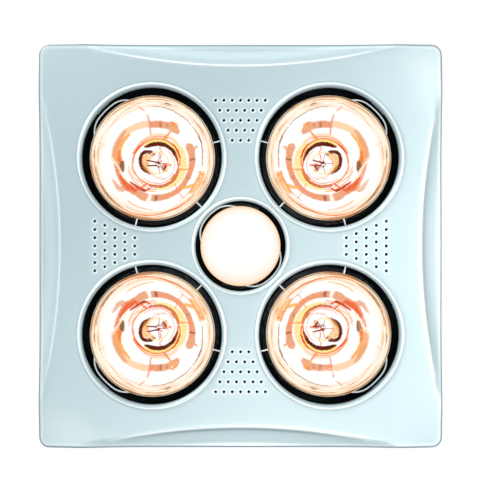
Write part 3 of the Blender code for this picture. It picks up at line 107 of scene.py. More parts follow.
# Housing
HOUSE = 0.172
SHEET = 0.0010
GAP = 0.0003
SHIELD = 0.0205
TOP = 0.1696
SCREW_HOLE = 0.0022
WIRE_HOLE_RADIUS = 0.0060
WIRE_HOLE = (0.0225, 0.1065)
EARTH = (-0.0225, 0.1065)


def srgb(*colour):
    """A colour of 0 to 255 as linear values."""
    return tuple((c / 255 / 12.92) if c < 11 else ((c / 255 + 0.055) / 1.055) ** 2.4 for c in colour)


# Materials
def add_node(tree, kind, inputs=(), **settings):
    """A node with these settings, whose inputs are given sockets to link or values to set."""
    node = tree.nodes.new(kind)
    for key, value in settings.items():
        setattr(node, key, value)
    for key, value in dict(inputs).items():
        if isinstance(value, bpy.types.NodeSocket):
            tree.links.new(value, node.inputs[key])
        else:
            node.inputs[key].default_value = value
    return node


class Finish:
    """A node material whose nodes are added with short calls."""

    def __init__(self, name, metallic=0.0):
        self.material = bpy.data.materials.new(name)
        self.material.use_nodes = True
        self.tree = self.material.node_tree
        self.shader = self.tree.nodes["Principled BSDF"]
        self.fix({"Metallic": metallic})
        self.place = self.add("ShaderNodeTexCoord").outputs["Object"]

    def add(self, kind, inputs=(), **settings):
        return add_node(self.tree, kind, inputs, **settings)

    def fix(self, values):
        for name, value in values.items():
            self.shader.inputs[name].default_value = value

    def drive(self, name, socket):
        self.tree.links.new(socket, self.shader.inputs[name])

    def mark(self, name, output="Fac"):
        """A value stored on the mesh."""
        return self.add("ShaderNodeAttribute", attribute_name=name).outputs[output]

    def noise(self, scale, detail, vector=None, rough=0.5):
        vector = self.place if vector is None else vector
        values = {"Vector": vector, "Scale": scale, "Detail": detail, "Roughness": rough}
        return self.add("ShaderNodeTexNoise", values).outputs["Fac"]

    def mean(self, a, b):
        both = self.add("ShaderNodeMath", {0: a, 1: b}, operation="ADD").outputs[0]
        return self.add("ShaderNodeMath", {0: both, 1: 0.5}, operation="MULTIPLY").outputs[0]

    def mix(self, share, a, b, kind="MIX"):
        return self.add("ShaderNodeMix", {0: share, 6: a, 7: b}, data_type="RGBA", blend_type=kind).outputs[2]

    def ramp(self, fac, *stops):
        """Colours by the share fac; each stop is (share, colour)."""
        made = self.add("ShaderNodeValToRGB", {"Fac": fac})
        marks = made.color_ramp.elements
        while len(marks) < len(stops):
            marks.new(0.5)
        for mark, (share, colour) in zip(marks, stops):
            mark.position = share
            mark.color = (*colour, 1)
        return made.outputs["Color"]

    def two_tones(self, fac, low, high):
        return self.ramp(fac, (0.3, low), (0.7, high))

    def spread(self, fac, low, high, start=0.25, end=0.75):
        values = {"Value": fac, "From Min": start, "From Max": end, "To Min": low, "To Max": high}
        return self.add("ShaderNodeMapRange", values).outputs["Result"]

    def bump(self, height, distance, strength=1.0):
        values = {"Height": height, "Distance": distance, "Strength": strength}
        self.drive("Normal", self.add("ShaderNodeBump", values).outputs["Normal"])
        return self.material


def tinted(colour, factor):
    return tuple(min(1, c * factor) for c in colour)


def simple_finish(name, colour, rough, metallic=0.0, scale=60, vary=0.06, grain=900, depth=0.00003, fixed=()):
    """Slight drifts of colour and gloss, and a fine grain."""
    made = Finish(name, metallic)
    made.fix(dict(fixed))
    colour = srgb(*colour)
    tones = (tinted(colour, 1 - vary), tinted(colour, 1 + vary))
    made.drive("Base Color", made.two_tones(made.noise(scale, 4), *tones))
    made.drive("Roughness", made.spread(made.noise(scale * 2.7, 3), rough * 0.85, rough * 1.15))
    return made.bump(made.noise(grain, 2), depth)


def silver_paint():
    """Metallic paint, lightened by a painted highlight and darkened by painted shade where the mesh marks
    them.
    """
    made = Finish("fascia_silver_paint", 0.30)
    colour = srgb(174, 194, 199)
    flake = made.noise(2600, 1)
    tone = made.two_tones(made.mean(flake, made.noise(9, 3)), tinted(colour, 0.95), tinted(colour, 1.05))
    # Painted shade darkens the colour and takes away the coat and most gloss; painted highlight turns it near
    # white
    painted_shade = made.mark("painted_shade")
    tone = made.mix(painted_shade, tone, (*srgb(84, 104, 110), 1))
    tone = made.mix(made.mark("painted_highlight"), tone, (*srgb(252, 254, 255), 1))
    made.drive("Base Color", tone)
    made.drive("Roughness", made.spread(made.noise(1500, 1), 0.38, 0.46))
    made.drive("Coat Weight", made.spread(painted_shade, 0.3, 0.0, 0, 1))
    made.drive("Specular IOR Level", made.spread(painted_shade, 0.5, 0.05, 0, 1))
    made.fix({"Coat Roughness": 0.12})
    return made.bump(flake, 0.000012, 0.5)


def galvanised_steel():
    """Zinc-coated sheet with its crystal pattern."""
    made = Finish("galvanised_steel", 0.7)
    made.fix({"Specular IOR Level": 0.3})
    cells = made.add("ShaderNodeTexVoronoi", {"Vector": made.place, "Scale": 110}).outputs["Color"]
    crystal = made.add("ShaderNodeSeparateColor", {"Color": cells}).outputs[0]
    share = made.mean(crystal, made.noise(38, 4))
    made.drive("Base Color", made.ramp(share, (0.2, srgb(150, 155, 160)), (0.8, srgb(184, 188, 192))))
    made.drive("Roughness", made.spread(share, 0.46, 0.62))
    return made.bump(made.noise(420, 3), 0.00004, 0.6)


def clear_glass():
    made = Finish("lamp_clear_glass")
    made.fix({"Transmission Weight": 1.0, "IOR": 1.46, "Specular Tint": (0.1, 0.1, 0.1, 1)})
    ripple = made.noise(55, 2)
    made.drive("Base Color", made.two_tones(ripple, (1.0, 0.985, 0.965), (1, 1, 1)))
    made.drive("Roughness", made.spread(made.noise(160, 2), 0.0, 0.02))
    return made.bump(ripple, 0.00012, 0.4)


# Colours of the fine rings near a lit lamp's rim
STREAKS = ((0.35, (206, 150, 116)), (0.41, (250, 200, 156)), (0.46, (255, 242, 226)), (0.54, (255, 255, 252)))


def glowing(name, rough, ringed):
    """Lit surface in the colour painted on it, crossed by fine rings near its rim where ringed is set."""
    made = Finish(name)
    tone = made.mark("glow", "Color")
    around = {"Vector": made.mark("polar", "Vector"), "Scale": (900, 1.6, 1.6)}
    streak = made.noise(1.0, 3, made.add("ShaderNodeMapping", around).outputs[0], 0.6)
    if ringed:
        streaks = made.ramp(streak, *((share, srgb(*colour)) for share, colour in STREAKS))
        tone = made.mix(made.mark("rim"), tone, streaks, "MULTIPLY")
    made.drive("Emission Color", tone)
    made.fix({"Emission Strength": 1.04, "Specular IOR Level": 0.0})
    made.drive("Base Color", made.two_tones(streak, (0.004, 0.003, 0.002), (0.008, 0.006, 0.004)))
    made.drive("Roughness", made.spread(streak, rough * 0.8, rough * 1.2))
    return made.material


def glowing_coil():
    made = Finish("glowing_coil", 0.3)
    made.drive("Emission Color", made.two_tones(made.noise(700, 2), srgb(255, 170, 90), srgb(255, 236, 196)))
    made.fix({"Emission Strength": 1.2})
    made.drive("Base Color", made.two_tones(made.noise(500, 2), srgb(90, 60, 40), srgb(120, 90, 60)))
    return made.material


# Painted glow: the plated guard wires give off a faint pale light, standing in for the lamps' light that they
# reflect
WIRE_PAINTED_GLOW = {"Emission Color": (0.92, 0.97, 1.0, 1), "Emission Strength": 0.45}
SILVER = silver_paint()
ZINC_SHEET = galvanised_steel()
CLEAR = clear_glass()
LIT = glowing("lit_reflector", 0.4, True)
LIT_DOME = glowing("lit_frosted_glass", 0.5, False)
LIT_COIL = glowing_coil()
# The heat shield behind the fascia: near-black partly from its paint and partly as painted shade for the dark
# inside seen through the gaps round the lamps
BLACK = simple_finish(
    "black_shield_paint_and_shade", (15, 24, 26), 0.62, depth=0.00005, fixed={"Specular IOR Level": 0.08}
)
COATING = simple_finish("lamp_silvering", (206, 206, 203), 0.24, 1.0, 30, 0.05, 500, 0.00002)
CAP_METAL = simple_finish("rolled_aluminium", (214, 213, 208), 0.28, 1.0, 90, 0.07, 1200)
PORCELAIN = simple_finish("glazed_porcelain", (236, 232, 222), 0.16, 0.0, 45, 0.03, 350)
WIRE = simple_finish("plated_wire_with_painted_glow", (244, 248, 250), 0.34, 0.5, 200, 0.04, 1500, 0.00001, WIRE_PAINTED_GLOW)
ZINC = simple_finish("zinc_plate", (196, 200, 204), 0.30, 1.0, 130, 0.08, 1500)
NYLON = simple_finish("black_nylon", (38, 38, 41), 0.46, 0.0, 120, 0.15, 1300, 0.00005)
WHITE_PLASTIC = simple_finish("white_moulding", (226, 226, 221), 0.40, 0.0, 80, 0.03, 1400, 0.00004)
RUBBER = simple_finish("soft_rubber", (36, 36, 37), 0.78, 0.0, 150, 0.2, 1100, 0.00007)
BRASS = simple_finish("turned_brass", (212, 176, 96), 0.26, 1.0, 160, 0.1, 1300)
SOLDER = simple_finish("solder", (176, 178, 182), 0.4, 1.0, 600, 0.15, 2200, 0.00006)
# Black glass on the lamp caps; also painted shade in screw recesses and the terminals' wire entries
DARK_GLASS_AND_RECESS_SHADE = simple_finish("black_glass_and_recess_shade", (20, 18, 26), 0.12, 0.0, 300, 0.2, 700)
LEAD = simple_finish(
    "hot_lead_wire", (150, 52, 20), 0.5, 0.0, 400, 0.25, 1600, fixed={"Specular IOR Level": 0.2}
)

# The material that stands for each of the model's material slots
SLOTS = {
    "galvanised": ZINC_SHEET, "black_shield": BLACK, "porcelain": PORCELAIN, "zinc_steel": ZINC,
    "black_plastic": NYLON, "white_plastic": WHITE_PLASTIC, "rubber": RUBBER, "brass": BRASS,
    "bright_wire": WIRE, "lamp_metal": CAP_METAL, "fascia_silver": SILVER, "lamp_glass": CLEAR,
}


# Forms
class Form:
    """Points and faces gathered for one piece. A face's mark is its place in the piece's materials."""

    def __init__(self):
        self.points = []
        self.faces = []
        self.marks = []

    def add(self, points, faces, place=None, mark=0):
        start = len(self.points)
        self.points += [tuple(place @ Vector(p)) if place else tuple(p) for p in points]
        self.faces += [[start + i for i in face] for face in faces]
        self.marks += [mark] * len(faces)

    def lathe(self, profile, steps, place=None, mark=0, closed=False, radius=None):
        """Turns (radius, height) points about +Z. radius may bend it: radius(r, z, angle)."""
        points, rings = [], []
        for r, z in profile:
            if r < 1e-7:
                rings.append([len(points)] * steps)
                points.append((0, 0, z))
                continue
            rings.append(range(len(points), len(points) + steps))
            for step in range(steps):
                angle = TAU * step / steps
                points.append(polar(radius(r, z, angle) if radius else r, angle, z))
        pairs = list(zip(rings, rings[1:]))
        if closed:
            pairs.append((rings[-1], rings[0]))
        faces = []
        for a, b in pairs:
            for here in range(steps):
                after = (here + 1) % steps
                face = [a[here], a[after], b[after], b[here]]
                face = [v for i, v in enumerate(face) if v != face[i - 1]]
                if len(face) > 2:
                    faces.append(face)
        self.add(points, faces, place, mark)

    def sweep(self, rings, place=None, mark=0, closed=False):
        """Skins rings of equal count, capping both ends unless the rings close on themselves."""
        count = len(rings[0])
        faces = []
        for row in range(len(rings) if closed else len(rings) - 1):
            after = (row + 1) % len(rings)
            for i in range(count):
                j = (i + 1) % count
                faces.append([row * count + i, row * count + j, after * count + j, after * count + i])
        if not closed:
            faces.append(list(range(count))[::-1])
            faces.append([(len(rings) - 1) * count + i for i in range(count)])
        self.add([p for ring in rings for p in ring], faces, place, mark)

    def tube(self, path, radius, sides, closed=False, place=None, mark=0):
        """A round wire along these points."""
        path = [Vector(p) for p in path]
        count = len(path)
        angles = [TAU * k / sides for k in range(sides)]
        rings = []
        up = None
        for i, point in enumerate(path):
            before = path[i - 1] if closed or i else point
            after = path[(i + 1) % count] if closed or i < count - 1 else point
            along = (after - before).normalized()
            if up is None:
                up = along.orthogonal().normalized()
            up = (up - along * up.dot(along)).normalized()
            side = along.cross(up)
            rings.append([point + radius * (math.cos(a) * up + math.sin(a) * side) for a in angles])
        if closed:
            # The last ring may have turned against the first, which is spread over the whole length
            gaps = [(rings[-1][k] - rings[0][0]).length for k in range(sides)]
            turns = [round(gaps.index(min(gaps)) * i / count) for i in range(count)]
            rings = [[ring[(k + turn) % sides] for k in range(sides)] for ring, turn in zip(rings, turns)]
        self.sweep(rings, place, mark, closed)

    def block(self, size, centre, bevel, place=None, mark=0, segments=2):
        """A box with rounded edges."""
        form = bmesh.new()
        bmesh.ops.create_cube(form, size=1)
        bmesh.ops.scale(form, vec=size, verts=form.verts)
        bmesh.ops.bevel(form, geom=form.edges, offset=bevel, segments=segments, profile=0.5, affect="EDGES")
        bmesh.ops.translate(form, vec=centre, verts=form.verts)
        form.verts.index_update()
        points = [v.co.copy() for v in form.verts]
        faces = [[v.index for v in face.verts] for face in form.faces]
        form.free()
        self.add(points, faces, place, mark)

    def plate(self, outline, low, high, holes=(), place=None, mark=0):
        """A flat plate with holes. Loops are lists of (x, y); outline runs anticlockwise."""
        loops = [list(outline), *[list(hole) for hole in holes]]
        flat, edges, starts = [], [], []
        for loop in loops:
            starts.append(len(flat))
            edges += [(len(flat) + i, len(flat) + (i + 1) % len(loop)) for i in range(len(loop))]
            flat += [Vector(p) for p in loop]
        points, triangles, index = triangulate(flat, edges)
        kept = []
        for triangle in triangles:
            middle = middle_of(points, triangle)
            if inside(middle, loops[0]) and not any(inside(middle, hole) for hole in loops[1:]):
                kept.append(triangle)
        count = len(points)
        both = [(*p, low) for p in points] + [(*p, high) for p in points]
        faces = [t[::-1] for t in kept] + [[i + count for i in t] for t in kept]
        for start, loop in zip(starts, loops):
            ring = [index[start + i] for i in range(len(loop))]
            for here, after in zip(ring, ring[1:] + ring[:1]):
                faces.append([here, after, after + count, here + count])
        self.add(both, faces, place, mark)

    def arc(self, profile, centre, middle, half, steps=10):
        """A curved bar: the closed profile swept round the centre, half the angle to each side of middle."""
        angles = [middle - half + 2 * half * step / steps for step in range(steps + 1)]
        self.sweep([[Vector(centre) + polar(r, angle, z) for r, z in profile] for angle in angles])

    def piece(self, name, materials, *nodes, body="housing", sharp=32):
        """Makes the object, which rides on body and stands for these nodes, which it hides."""
        materials = materials if isinstance(materials, list) else [materials]
        mesh = bpy.data.meshes.new(name)
        mesh.from_pydata(self.points, [], self.faces)
        for made in materials:
            mesh.materials.append(made)
        mesh.polygons.foreach_set("material_index", self.marks)
        form = bmesh.new()
        form.from_mesh(mesh)
        bmesh.ops.recalc_face_normals(form, faces=form.faces)
        form.to_mesh(mesh)
        form.free()
        mesh.shade_smooth()
        mesh.set_sharp_from_angle(angle=math.radians(sharp))
        obj = bpy.data.objects.new(name, mesh)
        bpy.context.scene.collection.objects.link(obj)
        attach(obj, body)
        if nodes:
            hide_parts(*nodes)
        return obj


def store(obj, name, kind, key, values):
    """Keeps a value for each of the object's points, which its material reads by name."""
    obj.data.attributes.new(name, kind, "POINT").data.foreach_set(key, values)


def triangulate(flat, edges):
    """Triangles over these points that keep the edges, and where each given point went."""
    points, _, faces, origin, _, _ = geometry.delaunay_2d_cdt(flat, edges, [], 0, 1e-7)
    index = {one: made for made, given in enumerate(origin) for one in given}
    return [tuple(p) for p in points], [list(f) for f in faces], index


def middle_of(points, triangle):
    return tuple(sum(points[i][axis] for i in triangle) / 3 for axis in (0, 1))


def inside(point, loop):
    x, y = point
    odd = False
    for (ax, ay), (bx, by) in zip(loop, [*loop[1:], loop[0]]):
        if (ay > y) != (by > y) and x < ax + (bx - ax) * (y - ay) / (by - ay):
            odd = not odd
    return odd


def circle(radius, centre=(0, 0), steps=48, start=0.0):
    angles = [start + TAU * i / steps for i in range(steps)]
    return [(centre[0] + radius * math.cos(a), centre[1] + radius * math.sin(a)) for a in angles]


def soft_rectangle(low, high, radius, steps):
    """Points round a rectangle with round corners, anticlockwise."""
    left, right = low[0] + radius, high[0] - radius
    bottom, top = low[1] + radius, high[1] - radius
    points = []
    for turn, (x, y) in enumerate(((right, top), (left, top), (left, bottom), (right, bottom))):
        for step in range(steps + 1):
            angle = QUARTER * (turn + step / steps)
            points.append((x + radius * math.cos(angle), y + radius * math.sin(angle)))
    return points


def soft_square(half, radius, steps):
    return soft_rectangle((-half, -half), (half, half), radius, steps)


def eased(corners, radius, steps=4):
    """A polyline with its corners rounded."""
    made = [corners[0]]
    for before, here, after in zip(corners, corners[1:], corners[2:]):
        before, here, after = Vector(before), Vector(here), Vector(after)
        reach = min(radius, (before - here).length * 0.45, (after - here).length * 0.45)
        start = here + (before - here).normalized() * reach
        end = here + (after - here).normalized() * reach
        for step in range(steps + 1):
            t = step / steps
            made.append(tuple(start * (1 - t) ** 2 + here * 2 * t * (1 - t) + end * t * t))
    return [*made, corners[-1]]


def curve_through(points, steps):
    """More points between these, evenly spaced along each stretch."""
    made = []
    for (ax, ay), (bx, by) in zip(points, points[1:]):
        made += [(ax + (bx - ax) * i / steps, ay + (by - ay) * i / steps) for i in range(steps)]
    return [*made, points[-1]]


def section(base, *points, out=0.0):
    """Points for a lathe, given in millimetres beyond the radius out and above the height base."""
    return [(out + r * MM, base + z * MM) for r, z in points]


def polar(radius, angle, z=0.0):
    return Vector((radius * math.cos(angle), radius * math.sin(angle), z))


def at(x, y, z):
    return Matrix.Translation((x, y, z))


def facing(place, direction):
    """A frame at place whose +Z points along direction."""
    return Matrix.Translation(place) @ Vector(direction).to_track_quat("Z", "Y").to_matrix().to_4x4()


# Fascia
def outline_reach(offset):
    share = offset / HALF
    return HALF + BOW * (1 - share * share)


def outline(inset, side_steps=56, corner_steps=12):
    reach = HALF - CORNER
    corner = Vector((reach + outline_reach(reach) - HALF, reach))
    points = []
    for spin in PLAN_TURNS:
        for step in range(side_steps):
            offset = reach * (2 * step / side_steps - 1)
            points.append(spin @ Vector((outline_reach(offset) - inset, offset)))
        for step in range(corner_steps):
            angle = QUARTER * step / corner_steps
            points.append(spin @ (corner + (CORNER - inset) * Vector((math.cos(angle), math.sin(angle)))))
    return points


def along_and_across(x, y):
    """Each point's distances from the middle lines, the larger first."""
    return np.maximum(abs(x), abs(y)), np.minimum(abs(x), abs(y))


def outline_inset(x, y):
    """How far inside the outline each point lies, its rounded corners included."""
    along, across = along_and_across(x, y)
    middle = HALF - CORNER
    round_corner = CORNER - np.hypot(along - middle - outline_reach(middle) + HALF, across - middle)
    return np.where(across > middle, round_corner, outline_reach(across) - along)


def crease_distance(x, y):
    """How far each point lies past the nearest crease, negative inside the raised field."""
    along, across = along_and_across(x, y)
    return CREASE_RADIUS - np.hypot(CREASE_APEX + CREASE_RADIUS - along, across)


# Each opening's middle, radius, width of its rolled-in side, width of its outer side and number of steps
HOLES = [(0.0, 0.0, CENTRE_HOLE, 0.0022, 0.0016, 120)]
HOLES += [(p.x, p.y, HEAT_HOLE, 0.0030, 0.0020, 176) for p in LAMPS]
# How strong each crease's painted highlight is and how dark the painted shade on the slope beyond it is, by
# the side that it lies on
CREASE_LIGHT_AND_SHADE = {(1, 0): (0.78, 0.30), (-1, 0): (0.40, 0.0), (0, 1): (0.72, 0.62), (0, -1): (0.55, 0.0)}


def vent_places():
    places = []
    for spin in PLAN_TURNS:
        for row in range(VENT_ROWS):
            count = VENT_LONGEST - row
            for step in range(count):
                across = (step - (count - 1) / 2) * VENT_SPACING
                places.append(spin @ Vector((VENT_ROW - row * VENT_PITCH, across)))
    return places


VENTS = vent_places()


def hump(distance, width):
    """A smooth hump of height 1 where distance is 0."""
    return np.exp(-((distance / width) ** 2))


def face_level(points):
    """Heights of the fascia's outer face at these (x, y) points."""
    x, y = points[:, 0], points[:, 1]
    beyond = np.clip(np.hypot(x, y) - FLAT_RADIUS, 0, None) / (math.hypot(HALF, HALF) - FLAT_RADIUS)
    depth = DEPTH - CORNER_FALL * beyond**2
    past = crease_distance(x, y)
    soft = (past + np.sqrt(past**2 + CREASE_ROUND**2)) / 2
    left = 1 - np.clip(soft / SCOOP_WIDTH, 0, 1)
    depth -= SCOOP_FALL * (1 - left**SCOOP_POWER)
    for cx, cy, radius, crest, foot, _ in HOLES:
        away = np.hypot(x - cx, y - cy) - radius - crest
        depth += LIP_RISE * (1 + np.cos(math.pi * np.clip(away / foot, 0, 1))) / 2
        depth -= LIP_DIP * hump(away - foot, 0.0007)
    for place in VENTS:
        away = np.hypot(x - place.x, y - place.y)
        depth -= VENT_SINK * np.clip((0.0023 - away) / 0.0009, 0, 1)
    return -depth


def edge_tones(points):
    """Painted highlight and painted shade on the outer face: at the beads, creases, vents and the rolled edge.
    """
    x, y = points[:, 0], points[:, 1]
    painted_highlight, painted_shade = np.zeros(len(x)), np.zeros(len(x))
    # Painted highlight along each lip's crest, painted shade in the dip outside it and down its rolled-in side
    for cx, cy, radius, crest, foot, _ in HOLES:
        away = np.hypot(x - cx, y - cy) - radius - crest
        painted_highlight += 0.95 * hump(away - 0.0005, 0.0008)
        painted_shade += 0.30 * hump(away - foot, 0.0007)
        painted_shade += 0.25 * np.clip((-away - 0.0006) / 0.0020, 0, 1) * (away > -crest - 0.001)
    # A painted highlight ring round each vent
    for place in VENTS:
        painted_highlight += 0.45 * hump(np.hypot(x - place.x, y - place.y) - VENT - 0.0011, 0.0006)
    inset = outline_inset(x, y)
    past = crease_distance(x, y)
    sideways = abs(x) > abs(y)
    bright_fading = np.clip((inset - 0.0060) / 0.0080, 0, 1)
    shade_fading = np.clip((inset - 0.0065) / 0.0110, 0, 1)
    # Painted highlight on each crease and painted shade on the slope beyond it, by side, fading near the
    # outline
    for (sx, sy), (bright, crease_shade) in CREASE_LIGHT_AND_SHADE.items():
        here = (sideways & (x * sx > 0)) if sx else (~sideways & (y * sy > 0))
        painted_highlight += here * bright * bright_fading * hump(past, 0.0009)
        painted_shade += here * crease_shade * shade_fading * hump(past - 0.0026, 0.0014)
    # A painted highlight just inside the rolled outer edge, and painted shade on the edge itself
    painted_highlight += 0.25 * hump(inset - 0.0030, 0.0010)
    painted_shade += 0.80 * np.clip((0.0018 - inset) / 0.0008, 0, 1)
    return np.clip(painted_highlight, 0, 1), np.clip(painted_shade, 0, 1)


def crease_points():
    """Rows of points along the creases, close together where the face bends."""
    points = []
    for spin in PLAN_TURNS:
        for past in (-0.0045, -0.0025, -0.0012, -0.0005, 0.0002, 0.0009, 0.0018, 0.0032, 0.005, 0.0075):
            radius = CREASE_RADIUS - past
            for step in range(-70, 71):
                angle = step / 70 * CREASE_SPAN
                x = CREASE_APEX + CREASE_RADIUS - radius * math.cos(angle)
                place = Vector((x, radius * math.sin(angle)))
                clear = place.x < outline_reach(place.y) - EDGE - 0.0062
                if clear and abs(place.y) < HALF - EDGE - 0.0062 and abs(place.y) < place.x:
                    points.append(spin @ place)
    return points


def is_open_field(x, y):
    """Whether a point of the field lies clear of everything that has points of its own."""
    if max(abs(x), abs(y)) > HALF - EDGE - 0.0075 or -0.0065 < crease_distance(x, y) < 0.0095:
        return False
    for cx, cy, radius, crest, foot, _ in HOLES:
        if math.hypot(x - cx, y - cy) < radius + crest + foot * 1.7 + 0.002:
            return False
    return all((x - p.x) ** 2 + (y - p.y) ** 2 >= 0.0000265 for p in VENTS)


def fascia_points():
    """Points over the field with their fixed edges, and the loops round each opening."""
    flat, edges, loops = [], [], []
    rims = [circle(r + crest, (cx, cy), steps) for cx, cy, r, crest, _, steps in HOLES]
    for places in (outline(EDGE), *rims, *(circle(VENT, place, 14) for place in VENTS)):
        start = len(flat)
        flat += [Vector(p) for p in places]
        edges += [(start + i, start + (i + 1) % len(places)) for i in range(len(places))]
        loops.append(range(start, start + len(places)))
    for inset in (0.0012, 0.003, 0.0055):
        flat += outline(EDGE + inset)
    for cx, cy, radius, crest, foot, steps in HOLES:
        for share in (0.25, 0.5, 0.75, 1, 1.3, 1.7):
            places = circle(radius + crest + foot * share, (cx, cy), steps, TAU / steps / 2)
            flat += [Vector(p) for p in places]
    for place in VENTS:
        for radius in (0.0019, 0.0024, 0.0034):
            flat += [Vector(p) for p in circle(radius, place, 12)]
    flat += crease_points()
    count = int(HALF / MESH_PITCH)
    for i in range(-count, count + 1):
        for j in range(-count, count + 1):
            x, y = i * MESH_PITCH, (j + (i % 2) / 2) * MESH_PITCH
            if is_open_field(x, y):
                flat.append(Vector((x, y)))
    return flat, edges, loops


def roll_steps(count):
    """How far in and how far up each step of a rolled edge lies, as shares of its radius."""
    angles = [QUARTER * step / count for step in range(1, count + 1)]
    return [(1 - math.sin(angle), 1 - math.cos(angle)) for angle in angles]


def strip(a, b):
    """Faces between two loops of points."""
    return [[a[i - 1], a[i], b[i], b[i - 1]] for i in (*range(1, len(a)), 0)]


def make_fascia():
    flat, edges, loops = fascia_points()
    points, triangles, index = triangulate(flat, edges)
    middles = np.array([middle_of(points, t) for t in triangles])
    keep = np.ones(len(triangles), bool)
    for cx, cy, radius, crest, *_ in HOLES:
        keep &= np.hypot(middles[:, 0] - cx, middles[:, 1] - cy) > radius + crest - 0.00001
    for place in VENTS:
        keep &= np.hypot(middles[:, 0] - place.x, middles[:, 1] - place.y) > VENT * 0.98
    rim = outline(EDGE)
    keep &= np.array([max(abs(m)) <= HALF - 0.012 or inside(m, rim) for m in middles])
    triangles = [t for t, kept in zip(triangles, keep) if kept]
    level = face_level(np.array(points))
    count = len(points)
    verts = [(*p, z + lift) for lift in (0, WALL) for p, z in zip(points, level)]
    faces = [t[::-1] for t in triangles] + [[i + count for i in t] for t in triangles]
    for number, loop in enumerate(loops):
        front = [index[i] for i in loop]
        rings = []
        if number == 0:
            for share, rise in roll_steps(6):
                rings.append([(*p, level[i] + EDGE * rise) for p, i in zip(outline(EDGE * share), front)])
            rings += [[(*p, 0) for p in outline(inset)] for inset in (0, WALL)]
        elif number <= len(HOLES):
            cx, cy, radius, crest, _, steps = HOLES[number - 1]
            for share, rise in roll_steps(7):
                ring = circle(radius + crest * share, (cx, cy), steps)
                rings.append([(*p, level[i] + LIP_TURN * rise) for p, i in zip(ring, front)])
            for wide in (radius, radius + COLLAR_WALL):
                rings.append([(*p, COLLAR_TOP) for p in circle(wide, (cx, cy), steps)])
        before = front
        for ring in rings:
            here = range(len(verts), len(verts) + len(ring))
            verts += ring
            faces += strip(before, here)
            before = here
        faces += strip(before, [i + count for i in front])
    form = Form()
    form.add(verts, faces)
    moulding = form.piece("fascia_moulding", SILVER, "fascia", body="fascia", sharp=50)
    # The face's painted highlight and painted shade, read by its material
    for mark, values in zip(("painted_highlight", "painted_shade"), edge_tones(np.array(form.points))):
        store(moulding, mark, "FLOAT", "value", values)


def make_fascia_fittings():
    """Tabs that hold the guards' wires, and the posts with their ribs on the fascia's back."""
    form = Form()
    back = -DEPTH + WALL
    for place in LAMPS:
        tab = section(back, (68.3, -0.4), (70.6, -1.2), (70.6, 1.5), (68.3, 1.5))
        form.arc(tab, place, math.atan2(place.y, place.x), math.radians(6.6))
    for angle in (math.pi / 4, math.pi * 5 / 4):
        tab = section(back, (44.1, -0.3), (45.8, -1.0), (45.8, 1.5), (44.1, 1.5))
        form.arc(tab, (0, 0, 0), angle, math.radians(4.5))
    for side in (-1, 1):
        form.block((0.004, 0.012, 0.0463), (side * POST_X, 0, 0.00685), 0.0008)
        form.block((0.010, 0.0016, 0.014), (side * (POST_X - 0.004), 0, -0.0085), 0.0004)
    tabs = form.piece("fascia_posts_and_tabs", SILVER, body="fascia")
    # The tabs are darkened all over by painted shade
    store(tabs, "painted_shade", "FLOAT", "value", [0.85] * len(form.points))


# Lamps
def cap_base(lamp):
    return lamp["top"] - CAP_TIP - CAP_LENGTH


def bowl(lamp, steps, thin=0.0):
    """The reflector's side, from the neck down to just above the widest circle, in even steps outward."""
    neck_level = cap_base(lamp) - (cap_base(lamp) - lamp["plane"]) * NECK_SHARE
    neck, wide = lamp["neck"] - thin, lamp["r"] - thin
    fall = lamp["plane"] - neck_level
    shares = [step / steps for step in range(steps)]
    return [(neck + (wide - neck) * out, neck_level + fall * out ** (4 / 3)) for out in shares]


def dome(lamp, steps, thin=0.0):
    """The front glass, from the widest circle to the middle of the face."""
    wide, rise = lamp["r"] - thin, lamp["plane"] - lamp["face"] - thin
    angles = [QUARTER * (1 - step / steps) for step in range(steps)]
    side = [(wide * math.sin(angle), lamp["plane"] - rise * math.cos(angle)) for angle in angles]
    return [*side, (0, lamp["plane"] - rise)]


